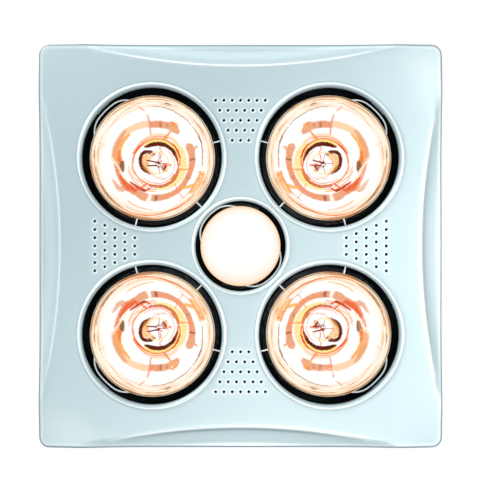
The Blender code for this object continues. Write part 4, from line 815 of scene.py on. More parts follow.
# Reflections on the lit bowl, in degrees from the side that faces the unit's middle and in steps of about
# 1 mm outward from the pattern's middle. Each is a colour, how strong it is, how soft its edges are, and
# places along it, given as angle, inner edge and outer edge.
SALMON, PINK, PEACH, CREAM = (236, 166, 126), (240, 150, 112), (255, 212, 172), (255, 236, 204)
ORANGE, FIRE, GLOW, YELLOW = (255, 136, 46), (236, 84, 14), (255, 178, 84), (255, 226, 132)
BROWN, DARK, GREY, TAN = (166, 50, 8), (98, 20, 0), (146, 96, 66), (200, 156, 128)
BANDS = (
    (YELLOW, 0.9, 1.2, (
        (-130, 23, 24.5), (-118, 22, 25.8), (-90, 22, 25.6), (-60, 20.5, 24.6), (-30, 19.6, 23),
        (-8, 18.5, 21),
    )),
    (YELLOW, 0.75, 2.0, (
        (-58, 25, 27.5), (-40, 24.5, 28.8), (0, 21.5, 28), (30, 20.5, 27.3), (60, 21, 26), (100, 22.5, 25),
    )),
    (PEACH, 0.7, 1.5, ((-150, 26.8, 28), (-120, 27.5, 30), (-90, 28, 31.5), (-60, 27, 30.5), (-48, 27, 29))),
    (ORANGE, 0.95, 0.8, (
        (-180, 25.6, 27.2), (-150, 25.4, 27.4), (-120, 25.4, 27), (-90, 25.1, 26.6), (-60, 23.8, 25.4),
        (-20, 21.2, 22.6), (6, 19.4, 21),
    )),
    (FIRE, 0.9, 0.7, ((-157, 26, 26.8), (-140, 25.2, 27.3), (-124, 25.6, 26.6))),
    (FIRE, 0.9, 0.7, ((-62, 24, 25), (-38, 22, 24.2), (-16, 21, 22.4))),
    (BROWN, 0.8, 0.7, ((12, 19.8, 21), (40, 20.2, 22), (64, 21, 22.6), (92, 21.6, 23), (118, 22.8, 24))),
    (ORANGE, 0.9, 0.8, ((-158, 27.4, 28.6), (-130, 27.8, 28.8), (-100, 27.6, 28.4), (-70, 27, 28.2))),
    (GLOW, 0.8, 1.0, ((96, 26.2, 27.4), (120, 27.2, 28.6), (146, 28.8, 30), (170, 30.8, 32))),
    (FIRE, 0.7, 0.7, ((30, 17.2, 18), (70, 17.8, 18.6), (108, 18.6, 19.4), (138, 20.2, 20.8))),
    (DARK, 1.0, 0.7, (
        (-131, 22.2, 23.4), (-121, 19.4, 23), (-104, 18.2, 22.9), (-80, 18, 22.4), (-55, 17.6, 21.4),
        (-34, 17.3, 20.6), (-12, 17.6, 19),
    )),
    (BROWN, 0.9, 0.7, (
        (-36, 18, 19.9), (-8, 17.9, 19.4), (8, 18.7, 20.1), (30, 18.2, 20.4), (52, 18.6, 20.2),
    )),
    (ORANGE, 0.95, 0.8, (
        (-10, 18.2, 19.3), (20, 19, 20.6), (60, 19.4, 21), (90, 20, 21.4), (120, 21.5, 23), (150, 24, 25.4),
        (180, 26, 27.4),
    )),
    (FIRE, 0.75, 0.8, ((60, 19.8, 20.8), (95, 20.2, 21.2), (112, 20.8, 22), (130, 22.6, 23.4))),
    (ORANGE, 0.7, 0.7, (
        (96, 24, 24.8), (112, 25.2, 26.2), (135, 24.6, 25.6), (160, 28.8, 29.7), (178, 30.2, 31),
    )),
    (GLOW, 0.7, 1.0, ((118, 20.8, 21.6), (140, 22.4, 23.6), (158, 25.6, 26.4), (176, 28, 28.8))),
    (DARK, 1.0, 0.7, (
        (144, 13.2, 15), (158, 13.4, 17.4), (170, 14.2, 18.9), (180, 15.4, 19.7), (196, 17, 21),
        (212, 17.8, 21.4), (222, 16.2, 20.4), (232, 13.8, 17.8), (246, 12.2, 14.6),
    )),
    (GLOW, 0.7, 2.2, ((150, 11.6, 13.6), (180, 12.2, 16), (205, 12.8, 17.8), (225, 12, 15.4), (240, 11, 13))),
    (FIRE, 0.6, 0.8, ((136, 11.6, 12.6), (158, 12.4, 13.8), (182, 13, 14.2), (206, 13.6, 14.6))),
    (ORANGE, 0.75, 0.6, ((60, 12.2, 12.9), (100, 11.4, 12.3), (140, 11.4, 12.2), (168, 10.8, 11.6))),
    (ORANGE, 0.6, 0.6, ((66, 14.6, 15.1), (90, 13.9, 14.6), (120, 13, 13.7))),
    (ORANGE, 0.7, 0.6, (
        (-58, 15.3, 15.9), (-30, 15.1, 15.8), (0, 15.3, 15.9), (40, 15.6, 16.2), (78, 15.2, 15.8),
    )),
    (SALMON, 0.95, 1.0, (
        (-105, 37.6, 45), (-98, 37, 43.6), (-90, 36.8, 43.8), (-80, 36.4, 43.4), (-72, 35.6, 44.8),
        (-66, 35, 44), (-60, 35, 40.4), (-57, 35.4, 38),
    )),
    (PINK, 0.7, 1.0, ((-103, 38.6, 44), (-96, 38, 42.6), (-86, 38.4, 42))),
    (GREY, 0.6, 1.6, ((-90, 37.2, 42), (-86, 37, 42))),
    (GREY, 0.4, 1.2, ((-80, 38, 41), (-77, 38, 42))),
    (ORANGE, 0.7, 0.8, ((-73, 43.4, 44.9), (-66, 40.4, 44))),
    (PEACH, 0.9, 1.4, (
        (-176, 40, 47.6), (-160, 41, 49.2), (-135, 42.4, 49.2), (-120, 40.4, 46.8), (-104, 38.4, 45),
    )),
    (SALMON, 0.9, 1.4, (
        (-190, 35, 41), (-180, 34, 44), (-172, 37, 46.6), (-164, 39.4, 48), (-150, 42.6, 48.6),
        (-140, 45, 48.6), (-132, 46.6, 48.2),
    )),
    (GLOW, 0.9, 1.2, ((-178, 36, 39), (-168, 39, 43.6), (-156, 40.6, 43.8), (-133, 41, 43.4))),
    (FIRE, 0.55, 1.4, ((-182, 36, 38.6), (-172, 38, 42), (-160, 40.6, 42.6))),
    (GREY, 1.0, 1.2, ((168, 36.2, 38.2), (174, 34.8, 39.8), (181, 34.6, 39.4), (186, 35, 37.4))),
    (PINK, 0.95, 1.0, (
        (128, 32.6, 38.6), (138, 33.6, 40.6), (144, 34.4, 43), (154, 36.6, 42.6), (165, 38.8, 43.2),
        (176, 41.8, 44.4), (182, 43.6, 45),
    )),
    (FIRE, 0.65, 1.3, (
        (124, 31, 34.6), (134, 31.6, 37), (144, 34.2, 40.4), (156, 37.4, 40.8), (166, 40, 41.6),
    )),
    (SALMON, 0.75, 1.2, ((142, 42, 46), (148, 42.6, 48.4), (156, 45.4, 49), (163, 47.8, 49.2))),
    (SALMON, 0.95, 1.0, ((108, 31.6, 38), (112, 31, 39), (122, 31.4, 39.6), (131, 33, 38))),
    (FIRE, 0.95, 0.8, (
        (108, 23.8, 24.8), (113, 25, 28), (118, 28, 30.6), (128, 29.2, 31.4), (140, 30.4, 32.8),
        (150, 33, 34.6),
    )),
    (BROWN, 0.95, 0.8, ((115, 28.4, 29.6), (121, 29, 30.8), (132, 29.9, 31.2), (145, 31.6, 32.4))),
    (SALMON, 0.95, 1.0, (
        (-37, 33.6, 36), (-32, 31.6, 38.6), (-25, 30.8, 39), (-15, 30.4, 37.2), (0, 29.6, 35.8),
        (12, 29, 34.6), (30, 28.4, 33.6), (44, 28.6, 34.2), (60, 29.2, 34.6), (80, 29.6, 35.4),
        (96, 30, 36.4), (104, 31, 37),
    )),
    (PINK, 0.5, 1.6, ((-20, 31.4, 36), (10, 30, 33.8), (50, 29.6, 33.4), (90, 30.6, 35), (100, 31.4, 36))),
    (GREY, 0.8, 1.2, ((-11, 31, 36.2), (-7, 31, 36.4))),
    (GREY, 0.75, 1.6, ((92, 30.6, 35.8), (98, 30.8, 36.4))),
    (GREY, 0.3, 1.6, ((20, 29.4, 33), (28, 29.2, 32.6))),
    (GLOW, 0.7, 1.6, ((9, 40.4, 47), (22, 39.8, 48), (34, 39.6, 46.4), (44, 40.6, 43))),
    (ORANGE, 0.75, 0.7, ((8, 41.6, 43), (24, 40.4, 41.8), (52, 40.4, 41.4), (62, 42, 42.6))),
    (FIRE, 0.55, 0.7, ((12, 43.6, 46), (15, 43.4, 46.4))),
    (FIRE, 0.5, 0.7, ((20, 42.4, 45), (23, 42.4, 45.6))),
    (ORANGE, 0.95, 0.7, (
        (38, 46.2, 46.8), (58, 46, 47.2), (76, 47, 48.4), (92, 49.8, 51), (106, 52.6, 53.8),
        (122, 55.2, 56.2), (134, 57, 57.6),
    )),
    (PEACH, 0.8, 1.0, ((36, 44.6, 46), (64, 44, 45.6), (90, 47, 48.4), (116, 51, 52.6), (128, 52.4, 53.2))),
    (GLOW, 0.7, 1.0, ((96, 45.6, 46.4), (112, 46, 47.6), (124, 46.6, 48.2), (132, 47.4, 48.2))),
    (TAN, 0.95, 0.7, ((128, 56, 56.8), (144, 57.6, 58.9), (160, 60.2, 61.4), (178, 61.6, 62.6))),
    (GREY, 0.8, 0.8, ((140, 57.6, 58.2), (152, 59, 60), (160, 60.4, 61))),
    (TAN, 0.95, 0.8, (
        (-48, 50, 50.8), (-34, 48, 49.6), (-22, 45.8, 47.4), (-8, 43.2, 44.6), (6, 42.4, 43.2),
    )),
    (GREY, 0.7, 0.8, ((-36, 48, 49.2), (-26, 46.6, 48))),
    (TAN, 0.9, 0.8, ((-96, 57.8, 58.4), (-84, 56, 57), (-68, 53, 54.2), (-50, 50.4, 51.4))),
    (GREY, 0.75, 0.8, ((-84, 60.6, 61.8), (-78, 59.4, 61))),
    (TAN, 0.8, 0.8, ((-176, 63, 64.2), (-168, 64.6, 65.6))),
)
# Thin lines across the bands: colour, how strong, how wide, then places along it as angle and distance
RAYS = (
    (PINK, 0.95, 1.5, ((-105, 31), (-104, 38), (-102.5, 44), (-103, 50.5))),
    (ORANGE, 0.95, 1.8, ((-79, 26), (-75, 29.5), (-71, 35))),
    (GLOW, 0.9, 1.2, ((-72, 34), (-66, 44.4))),
    (ORANGE, 0.9, 1.2, ((13, 21), (11, 27), (6.5, 33.4))),
    (ORANGE, 0.7, 1.2, ((50, 25), (55, 31.5), (54, 42))),
    (SALMON, 0.9, 2.4, ((-24, 36), (-25, 41.6))),
    (GLOW, 0.9, 3.2, ((43, 33.6), (38, 36.4), (31, 40))),
    (ORANGE, 0.9, 1.1, ((-105, 55.4), (-109, 60))),
    (PEACH, 0.8, 1.1, ((-161, 57), (-160, 63))),
    (FIRE, 0.9, 1.6, ((122, 23), (128, 28.6), (132, 34))),
    (ORANGE, 0.9, 1.3, ((-91, 6.6), (-88, 11), (-86, 17.4))),
    (CREAM, 1.0, 1.3, ((104, 29.5), (108, 32.6), (109.5, 38.6))),
    (CREAM, 1.0, 1.5, ((154, 36), (166, 36.8), (180, 42.6), (188, 46.4))),
    (FIRE, 0.9, 2.6, ((-100, 3.6), (-72, 4.4))),
    (BROWN, 1.0, 4.4, ((14, 5.2), (40, 6.2))),
    (BROWN, 1.0, 3.4, ((-120, 3.0), (-60, 2.2))),
    (FIRE, 0.8, 2.4, ((-20, 3.4), (-6, 6.4), (-5, 10))),
)




def ripple(places, size, seed):
    return np.array([noise.noise(Vector((x / size, y / size, seed))) for x, y in places])


def blend(tone, mask, colour):
    mask = np.clip(mask, 0, 1)[:, None]
    return tone * (1 - mask) + mask * np.array(srgb(*colour))


def glow_tones(u, v, r):
    """The lit reflector's colours, from places in the lamp's own plane and their distance from its middle."""
    radius = r * 1000
    places = list(zip(u * 1000, v * 1000))
    fine = ripple(places, 1.5, 9.7)
    # The pattern's middle slides towards the unit's middle as the reflector widens
    skew = 0.114 * (radius - 9.5)
    x = u * 1000 - skew + 0.5 * ripple(places, 4.0, 3.1) + 0.2 * fine
    y = v * 1000 - skew + 0.5 * ripple(places, 4.0, 7.7) + 0.2 * ripple(places, 1.7, 1.3)
    step = 0.913 + 0.0013 * radius
    x, y = x * step, y * step
    away = np.hypot(x, y)
    angle = np.degrees(np.arctan2(y, x))
    tone = np.tile(np.array(srgb(255, 255, 253)), (len(u), 1))
    tone = blend(tone, (radius - 50) / 9, (255, 246, 232))
    tone = blend(tone, (radius - 59) / 3, (252, 228, 198))
    for colour, weight, soft, knots in BANDS:
        start, end = knots[0][0], knots[-1][0]
        turn = (angle - start) % 360
        marks = [knot[0] - start for knot in knots]
        low = np.interp(turn, marks, [knot[1] for knot in knots])
        high = np.interp(turn, marks, [knot[2] for knot in knots])
        across = np.clip((away - low) / soft + 0.5, 0, 1) * np.clip((high - away) / soft + 0.5, 0, 1)
        ends = np.clip(np.minimum(turn, end - start - turn) / 1.6 + 0.3, 0, 1)
        tone = blend(tone, weight * across * ends * (1.12 + 0.4 * fine), colour)
    for colour, weight, wide, knots in RAYS:
        turns = [math.radians(knot[0]) for knot in knots]
        points = [np.array([k[1] * math.cos(turn), k[1] * math.sin(turn)]) for k, turn in zip(knots, turns)]
        near = np.full(len(x), 99.0)
        for a, b in zip(points, points[1:]):
            along = b - a
            share = np.clip(((x - a[0]) * along[0] + (y - a[1]) * along[1]) / along.dot(along), 0, 1)
            near = np.minimum(near, np.hypot(x - a[0] - share * along[0], y - a[1] - share * along[1]))
        tone = blend(tone, weight * np.clip((wide / 2 - near) / 0.7 + 0.5, 0, 1), colour)
    return tone


def centre_tones(u, v, r):
    """White in the middle, warmer to the edge and towards +Y."""
    share = r / CENTRE["r"]
    warm = np.clip((share - 0.62) / 0.38, 0, 1) ** 1.7 * 0.75 + np.clip(v / CENTRE["r"] - 0.35, 0, 1) * 0.55
    tone = blend(np.array(srgb(255, 255, 253)), warm, (255, 226, 200))
    return blend(tone, (share - 0.93) / 0.07, (250, 206, 160))


def paint(obj, centre, mirror, tones, rim_from):
    """Stores each point's glow, its place round the lamp and how far it is into the rim's fine rings."""
    co = np.zeros(len(obj.data.vertices) * 3)
    obj.data.vertices.foreach_get("co", co)
    co = co.reshape(-1, 3)
    u = (co[:, 0] - centre[0]) * mirror[0]
    v = (co[:, 1] - centre[1]) * mirror[1]
    r = np.hypot(u, v)
    safe = np.maximum(r, 1e-6)
    store(obj, "glow", "FLOAT_COLOR", "color", np.column_stack([tones(u, v, r), np.ones(len(r))]).ravel())
    store(obj, "polar", "FLOAT_VECTOR", "vector", np.column_stack([r, u / safe, v / safe]).ravel())
    store(obj, "rim", "FLOAT", "value", np.clip((r - rim_from) / 0.002, 0, 1))


def make_bulb(name, centre, lamp, node, lit):
    """The glass, silvered outside on its bowl. Inside, either its bowl or the whole of it glows."""
    frosted = lamp is CENTRE
    tip = CAP_RADIUS - 0.0013
    base = cap_base(lamp)
    neck = lamp["neck"]
    outer_bowl = [(tip, base + 0.008), (tip, base + 0.001), (neck - 0.001, base - 0.003)]
    outer_bowl += [(neck, base - 0.008), *bowl(lamp, 20)]
    outer_face = dome(lamp, 16)
    inner_face = dome(lamp, 10, GLASS)[::-1]
    inner_bowl = bowl(lamp, lamp["rows"], GLASS)[::-1]
    inner_bowl += [(neck - GLASS, z) for z in np.linspace(inner_bowl[-1][1] + 0.004, base - 0.006, 6)]
    inner_bowl += [(tip - GLASS, base), (tip - GLASS, base + 0.008)]
    skins = [
        (outer_bowl + outer_face[:1], 1),
        (outer_face, 2 if frosted else 0),
        (inner_face, 2 if frosted else 0),
        (inner_face[-1:] + inner_bowl, 1 if frosted else 2),
        ([inner_bowl[-1], outer_bowl[0]], 1),
    ]
    form = Form()
    for skin, mark in skins:
        form.lathe(skin, lamp["steps"], at(*centre), mark)
    bulb = form.piece(f"{name}_bulb", [CLEAR, COATING, lit], node, body=name, sharp=60)
    edit = bmesh.new()
    edit.from_mesh(bulb.data)
    bmesh.ops.remove_doubles(edit, verts=edit.verts, dist=0.000001)
    bmesh.ops.recalc_face_normals(edit, faces=edit.faces)
    edit.to_mesh(bulb.data)
    edit.free()
    return bulb


def make_cap(name, centre, lamp, node):
    """The screw cap with its rolled thread, solder contact and black glass end."""
    top = lamp["top"] - CAP_TIP
    bottom = top - CAP_LENGTH
    skirt = bottom + 0.0080
    place = at(*centre)

    def thread(r, z, angle):
        fade = min(1, max(0, (z - skirt) / 0.0015)) * min(1, max(0, (top - 0.0025 - z) / 0.0015))
        return r + fade * 0.0006 * math.sin(TAU * z / THREAD_PITCH + angle)

    outer = section(top, (9.8, 0), (11.8, -0.6), (12.6, -1.8))
    outer += [(CAP_RADIUS, z) for z in np.linspace(top - 0.003, bottom, 44)]
    inner = [(CAP_RADIUS - 0.0004, bottom), (CAP_RADIUS - 0.0004, top - 0.004), (0.0098, top - 0.0008)]
    form = Form()
    form.lathe(outer + inner, 48, place, closed=True, radius=thread)
    form.lathe(section(top, (0, -1.2), (9.7, -1.0), (9.4, -0.2), (5.6, 0.7), (0, 0.8)), 40, place, 2)
    contact = section(top, (0, 0.6), (4.6, 0.6), (4.0, 1.3)) + section(lamp["top"], (1.6, 0), (0, 0))
    form.lathe(contact, 28, place, 1)
    form.piece(f"{name}_cap", [CAP_METAL, SOLDER, DARK_GLASS_AND_RECESS_SHADE], node, body=name)


def make_stem(name, centre, lamp, node, lit):
    """Glass stem and the flare that seals it into the neck, lead wires, supports and the coiled filament."""
    top = lamp["top"] - CAP_TIP - CAP_LENGTH / 4 - GAP
    bottom = top - (lamp["top"] - lamp["face"]) * 0.36
    place = at(*centre)
    form = Form()
    rod = section(top, (0, 0), (4.8, 0), (4.6, -20)) + section(bottom, (3.6, 12), (3.4, 2), (2.6, 0), (0, 0))
    form.lathe(rod, 24, place)
    flare = section(cap_base(lamp) - 0.0110, (0, 6.2), (2.0, 6.0), (4.5, 5.2), (7.0, 3.6), (10.0, 1.6))
    flare.append((lamp["neck"] - GLASS - 0.0002, cap_base(lamp) - 0.0110))
    skin = curve_through(flare, 4)
    form.lathe(skin + [(r, z + 0.0005) for r, z in skin[::-1]], 96, place, 3)
    level = bottom - 0.012
    turns, radius, coil = 46, 0.0115, 0.00085
    path = []
    for step in range(turns * 8 + 1):
        share = step / (turns * 8)
        spin = TAU * share * turns
        angle = math.radians(330) * (share - 0.5)
        path.append(polar(radius + coil * math.cos(spin), angle, level + coil * math.sin(spin)))
    form.tube(path, 0.00030, 5, place=place, mark=2)
    for side in (-1, 1):
        start = Vector((-0.0016, side * 0.0016, bottom + 0.002))
        bend = Vector((-0.006, side * 0.0022, bottom - 0.004))
        end = polar(radius, side * math.radians(165), level)
        form.tube(eased([start, bend, end], 0.004), 0.0008, 8, place=place, mark=1)
    for angle in (math.radians(degrees) for degrees in (-80, 0, 80)):
        bend = polar(radius * 0.5, angle, bottom - 0.003)
        path = [Vector((0, 0, bottom + 0.001)), bend, polar(radius, angle, level + 0.0014)]
        form.tube(path, 0.00028, 6, place=place, mark=1)
    return form.piece(f"{name}_stem", [CLEAR, LEAD, LIT_COIL, lit], node, body=name)


def make_lamp(name, centre, lamp, nodes):
    """A lamp on the body of the same name. nodes are its glass, its cap and its filament."""
    if lamp is CENTRE:
        lit, look = LIT_DOME, ((1, 1), centre_tones, 1.0)
    else:
        lit, look = LIT, ((-math.copysign(1, centre[0]), -math.copysign(1, centre[1])), glow_tones, 0.0525)
    paint(make_bulb(name, centre, lamp, nodes[0], lit), centre, *look)
    make_cap(name, centre, lamp, nodes[1])
    paint(make_stem(name, centre, lamp, nodes[2], lit), centre, *look)


# Guards: radii of the ring and its bows, degrees that a bow takes up to each side, its level, and the spokes'
# inner and outer radii and bend
WIRE_RADIUS = 0.00075
HEAT_GUARD = (0.0607, 0.0683, 28, 0.006, 0.0607, 0.0735, 0.0022)
CENTRE_GUARD = (0.0386, 0.0443, 42, 0.0075, 0.0443, 0.0470, 0.0012)


def guard_path(ring, bow, reach, level, bows, steps=40):
    points = []
    span = TAU / len(bows)
    for middle in bows:
        for step in range(steps):
            share = 2 * step / steps - 1
            radius = ring + (bow - ring) * math.sin(QUARTER * min(1, (1 - abs(share)) / 0.68))
            points.append(polar(radius, middle + share * reach, level))
        count = steps * 2 // len(bows)
        for step in range(count):
            points.append(polar(ring, middle + reach + (span - 2 * reach) * step / count, level))
    return points


def make_guard(name, node, centre, sizes, bows, spokes):
    ring, bow, reach, level, root, foot, bend = sizes
    place = at(*centre)
    form = Form()
    form.tube(guard_path(ring, bow, math.radians(reach), level, bows), WIRE_RADIUS, 12, True, place)
    for angle in spokes:
        path = [polar(root, angle, level), polar(foot, angle, level), polar(foot, angle, SHIELD - GAP)]
        form.tube(eased(path, bend, 6), WIRE_RADIUS, 12, place=place)
    form.piece(name, WIRE, node, sharp=60)


def make_guards():
    for number, centre in enumerate(LAMPS, 1):
        inward = math.atan2(centre.y, centre.x)
        spokes = [inward + math.pi + turn * math.pi / 3 for turn in (-1, 0, 1)]
        name, node = f"heat_lamp_{number}_guard", f"heat_lamp_guard_{number}"
        make_guard(name, node, centre, HEAT_GUARD, [inward], spokes)
    bows = (math.pi / 4, math.pi * 5 / 4)
    make_guard("centre_lamp_wire_guard", "centre_lamp_guard", (0, 0, 0), CENTRE_GUARD, bows, bows)


# Housing, its top and the ceiling flange
WALL_ROUND = 0.0040
TOP_HALF = HOUSE + GAP + SHEET
TOP_LIP = 0.0100
INLET = 0.050
FLANGE_HALF = 0.189
FLANGE_OPENING = HOUSE + GAP
FLANGE_HOLE = 0.00225
FLANGE_HOLE_PLACE = 0.120
BEAD = 0.0025
BEAD_RISE = 0.0011
BEAD_SINK = 0.0001
BEAD_LEVELS = (0.036, 0.145)
OVERLAP = 0.00005
SCREW_HEAD, SCREW_HEIGHT, SCREW_SHANK, SCREW_LENGTH = 0.0036, 0.0018, 0.0019, 0.0070
SCREW_TURNS = 7


def rivet(form, place, direction, radius=0.0030, height=0.0009, mark=0):
    """A domed head with the small dimple that its pulled pin leaves."""
    shares = ((0, 0), (1, 0), (1, 0.3), (0.8, 0.8), (0.45, 1), (0.35, 0.5), (0, 0.45))
    form.lathe([(radius * r, height * z) for r, z in shares], 20, facing(place, direction), mark)


def make_screw(name, node, place, direction, metal=ZINC):
    """A cross-recessed screw. Its head's seat is at place and its head points along direction."""
    here = facing(place, direction)
    shank, start = SCREW_SHANK, -SCREW_LENGTH
    side = [(0, start), (shank * 0.5, start), (shank * 0.9, start + 0.0008)]
    for turn in range(SCREW_TURNS):
        level = start + 0.0010 + turn * (SCREW_LENGTH - 0.0014) / SCREW_TURNS
        side += [(shank, level), (shank * 0.8, level + 0.00045)]
    side += [(shank, -0.0002), (shank, 0)]
    shares = ((1, 0), (1, 0.45), (0.85, 0.82), (0.5, 0.98), (0, 1))
    side += [(SCREW_HEAD * r, SCREW_HEIGHT * z) for r, z in shares]
    form = Form()
    form.lathe(side, 28, here)
    # The cross recess is not cut: two dark bars in the head are painted shade standing for it
    recess = (SCREW_HEAD * 1.1, SCREW_HEAD * 0.24, SCREW_HEIGHT * 0.2)
    for spin in TURNS[:2]:
        form.block(recess, (0, 0, SCREW_HEIGHT * 0.885), 0.00005, here @ spin, 1, 1)
    form.piece(name, [metal, DARK_GLASS_AND_RECESS_SHADE], node)


def make_housing():
    form = Form()
    height = TOP - SHEET - GAP
    straight = HOUSE - WALL_ROUND
    low, high = (-straight - OVERLAP, -SHEET), (straight + OVERLAP, height)
    side = [low, (high[0], low[1]), high, (low[0], high[1])]
    inner_round = WALL_ROUND - SHEET
    corner = [(WALL_ROUND, -SHEET), (WALL_ROUND, height), (inner_round, height), (inner_round, -SHEET)]
    for turn, spin in enumerate(TURNS):
        holes = []
        if turn == 2:
            holes = [circle(WIRE_HOLE_RADIUS, (-WIRE_HOLE[0], WIRE_HOLE[1]), 32)]
            holes.append(circle(SCREW_HOLE, (-EARTH[0], EARTH[1]), 16))
        form.plate(side, HOUSE - SHEET, HOUSE, holes, spin @ UPRIGHT)
        rings = []
        for angle in (QUARTER * step / 8 for step in range(9)):
            rings.append([Vector((straight, straight, z)) + polar(r, angle) for r, z in corner])
        form.sweep(rings, spin)
        for level in BEAD_LEVELS:
            path = []
            for share in np.linspace(-1, 1, 41):
                rise = BEAD_RISE * math.sin(math.pi * min(1, (1 - abs(share)) * 12) / 2)
                path.append((HOUSE - BEAD + rise - BEAD_SINK, share * (straight - 0.012), level))
            form.tube(path, BEAD, 16, place=spin)
    form.piece("housing_shell", ZINC_SHEET, "housing_walls")


def make_housing_top():
    form = Form()
    rim = section(TOP, (0, -10), (0, -1.4), (0.4, -0.4), (1.4, 0), (3.0, 0))
    rim += section(TOP - SHEET, (3.0, 0), (1.6, 0), (1.1, -0.6), (1.0, -9))
    rings = []
    for inset, level in rim:
        rings.append([(*p, level) for p in soft_square(TOP_HALF - inset, 0.0050 - inset, 6)])
    form.sweep(rings, closed=True)
    form.plate(soft_square(TOP_HALF - 0.0030, 0.0020, 4), TOP - SHEET, TOP, [circle(INLET, steps=96)])
    for spin in TURNS:
        for share in (-0.85, -0.45, 0.45, 0.85):
            place = Vector((TOP_HALF, share * HOUSE, TOP - TOP_LIP / 2))
            rivet(form, spin @ place, spin.to_3x3() @ Vector((1, 0, 0)))
    form.piece("housing_lid", ZINC_SHEET, "housing_top")


def make_flange():
    form = Form()
    holes = [soft_square(FLANGE_OPENING, 0.0015, 3)]
    for spin in TURNS:
        for side in (-1, 1):
            middle = spin @ Vector(((FLANGE_HALF + FLANGE_OPENING) / 2, side * FLANGE_HOLE_PLACE, 0))
            holes.append(circle(FLANGE_HOLE, middle.xy, 24))
    form.plate(soft_square(FLANGE_HALF, 0.0030, 6), -SHEET, 0, holes)
    form.piece("ceiling_frame", ZINC_SHEET, "ceiling_flange", sharp=30)


# Lampholders and the bridge
HOLDER_FLOOR = 0.0120


def make_holder(name, centre, lamp, node):
    form = Form()
    floor = lamp["top"] + GAP
    mouth = lamp["top"] - 0.0262
    place = at(*centre)
    body = section(floor, (0, 0), (14.9, 0))
    body += section(mouth, (14.9, 1.2), (16.2, 0), (19, 0), (20.5, 1.5), (20.5, 9), (19.9, 10), (20.5, 11))
    top = [(20.5, -7.2), (21.2, -6), (24.5, -5.6), (24.5, -1.2), (23.6, 0), (0, 0)]
    body += section(floor + HOLDER_FLOOR, *top)
    form.lathe(eased(body, 0.0008, 3), 72, place)

    def thread(r, z, angle):
        return r + 0.00025 * math.sin(TAU * z / THREAD_PITCH + angle)

    shell = [(0.01445, z) for z in np.linspace(mouth + 0.004, floor - 0.003, 36)]
    shell += [(0.0148, floor - 0.003), (0.0148, mouth + 0.004)]
    form.lathe(shell, 48, place, 1, closed=True, radius=thread)
    form.lathe(section(floor, (0, -0.2), (3.0, -0.2), (3.4, 0), (0, 0.4)), 24, place, 1)
    form.piece(name, [PORCELAIN, BRASS], node)


def make_bridge():
    form = Form()
    half, sheet, foot, wide = HOUSE - SHEET - GAP, 0.0015, 0.0120, 0.0400
    low = CENTRE["top"] + GAP + HOLDER_FLOOR + GAP
    high = low + sheet + foot
    outer = eased([(-half, high), (-half, low), (half, low), (half, high)], 0.0030, 6)
    within = half - sheet
    corners = [(-within, high), (-within, low + sheet), (within, low + sheet), (within, high)]
    inner = eased(corners, 0.0015, 6)
    rings = [[(-wide / 2, *a), (wide / 2, *a), (wide / 2, *b), (-wide / 2, *b)] for a, b in zip(outer, inner)]
    form.sweep(rings)
    for side in (-1, 1):
        for x in (-0.012, 0.012):
            place = (x, side * within, low + sheet + foot * 0.55)
            rivet(form, place, (0, -side, 0), 0.0024, 0.0008)
    form.piece("centre_bridge", ZINC_SHEET, "centre_holder_bridge")


# Fan
SCROLL_LOW, SCROLL_HIGH = TOP + GAP, TOP + GAP + 0.068
SCROLL_WALL = 0.0012
SPIRAL = (0.072, 0.108)
OUTLET = (0.010, 0.108)
OUTLET_LEVELS = (SCROLL_LOW + 0.0018, SCROLL_HIGH - SCROLL_WALL)
OUTLET_X = 0.135
PLATE = 0.0015
PLATE_MARGIN = 0.007
EAR = 0.014
EARS = (150, 205, 262, 318)
MOTOR_SCREWS = (90, 210, 330)
MOTOR_LOW, MOTOR_HIGH, MOTOR = 0.2433, 0.2733, 0.036
MOTOR_WALL = 0.0012
MOTOR_PLATE = (0.2415, 0.2430)
PAD = (0.0385, 0.0485)
IMPELLER = (0.049, 0.064)
IMPELLER_LOW, IMPELLER_HIGH = 0.1759, 0.2259
BLADES = 18
LEAN = math.radians(32)


def spiral_points(offset, steps=150):
    """Plan of the scroll's wall: from the tongue round the spiral to the outlet's far side."""
    low, start, end = OUTLET[0] - offset, SPIRAL[0] + offset, SPIRAL[1] + offset
    first = math.asin(low / start)
    last = QUARTER - TAU
    points = [(OUTLET_X, low)]
    points += [(OUTLET_X + (start * math.cos(first) - OUTLET_X) * share, low) for share in (0.35, 0.7)]
    for step in range(steps + 1):
        share = step / steps
        points.append(tuple(polar(start + (end - start) * share, first + (last - first) * share).xy))
    return points + [(OUTLET_X * share, end) for share in (0.35, 0.7, 1)]


def spiral_reach(angle):
    first = math.asin(OUTLET[0] / SPIRAL[0])
    return SPIRAL[0] + (SPIRAL[1] - SPIRAL[0]) * ((first - angle) % TAU) / (first - QUARTER + TAU)


def motor_screw_spots(level):
    return [polar((PAD[0] + PAD[1]) / 2, math.radians(angle), level) for angle in MOTOR_SCREWS]


def outlet_plate(form, start):
    """The flange round the outlet, which is bare inside it."""
    low, high = (OUTLET[0] - PLATE_MARGIN, SCROLL_LOW), (OUTLET[1] + PLATE_MARGIN, SCROLL_HIGH + PLATE_MARGIN)
    floor, roof = OUTLET_LEVELS
    opening = [(OUTLET[0], floor), (OUTLET[1], floor), (OUTLET[1], roof), (OUTLET[0], roof)]
    form.plate(soft_rectangle(low, high, 0.0020, 4), start, start + PLATE, [opening], UPRIGHT)


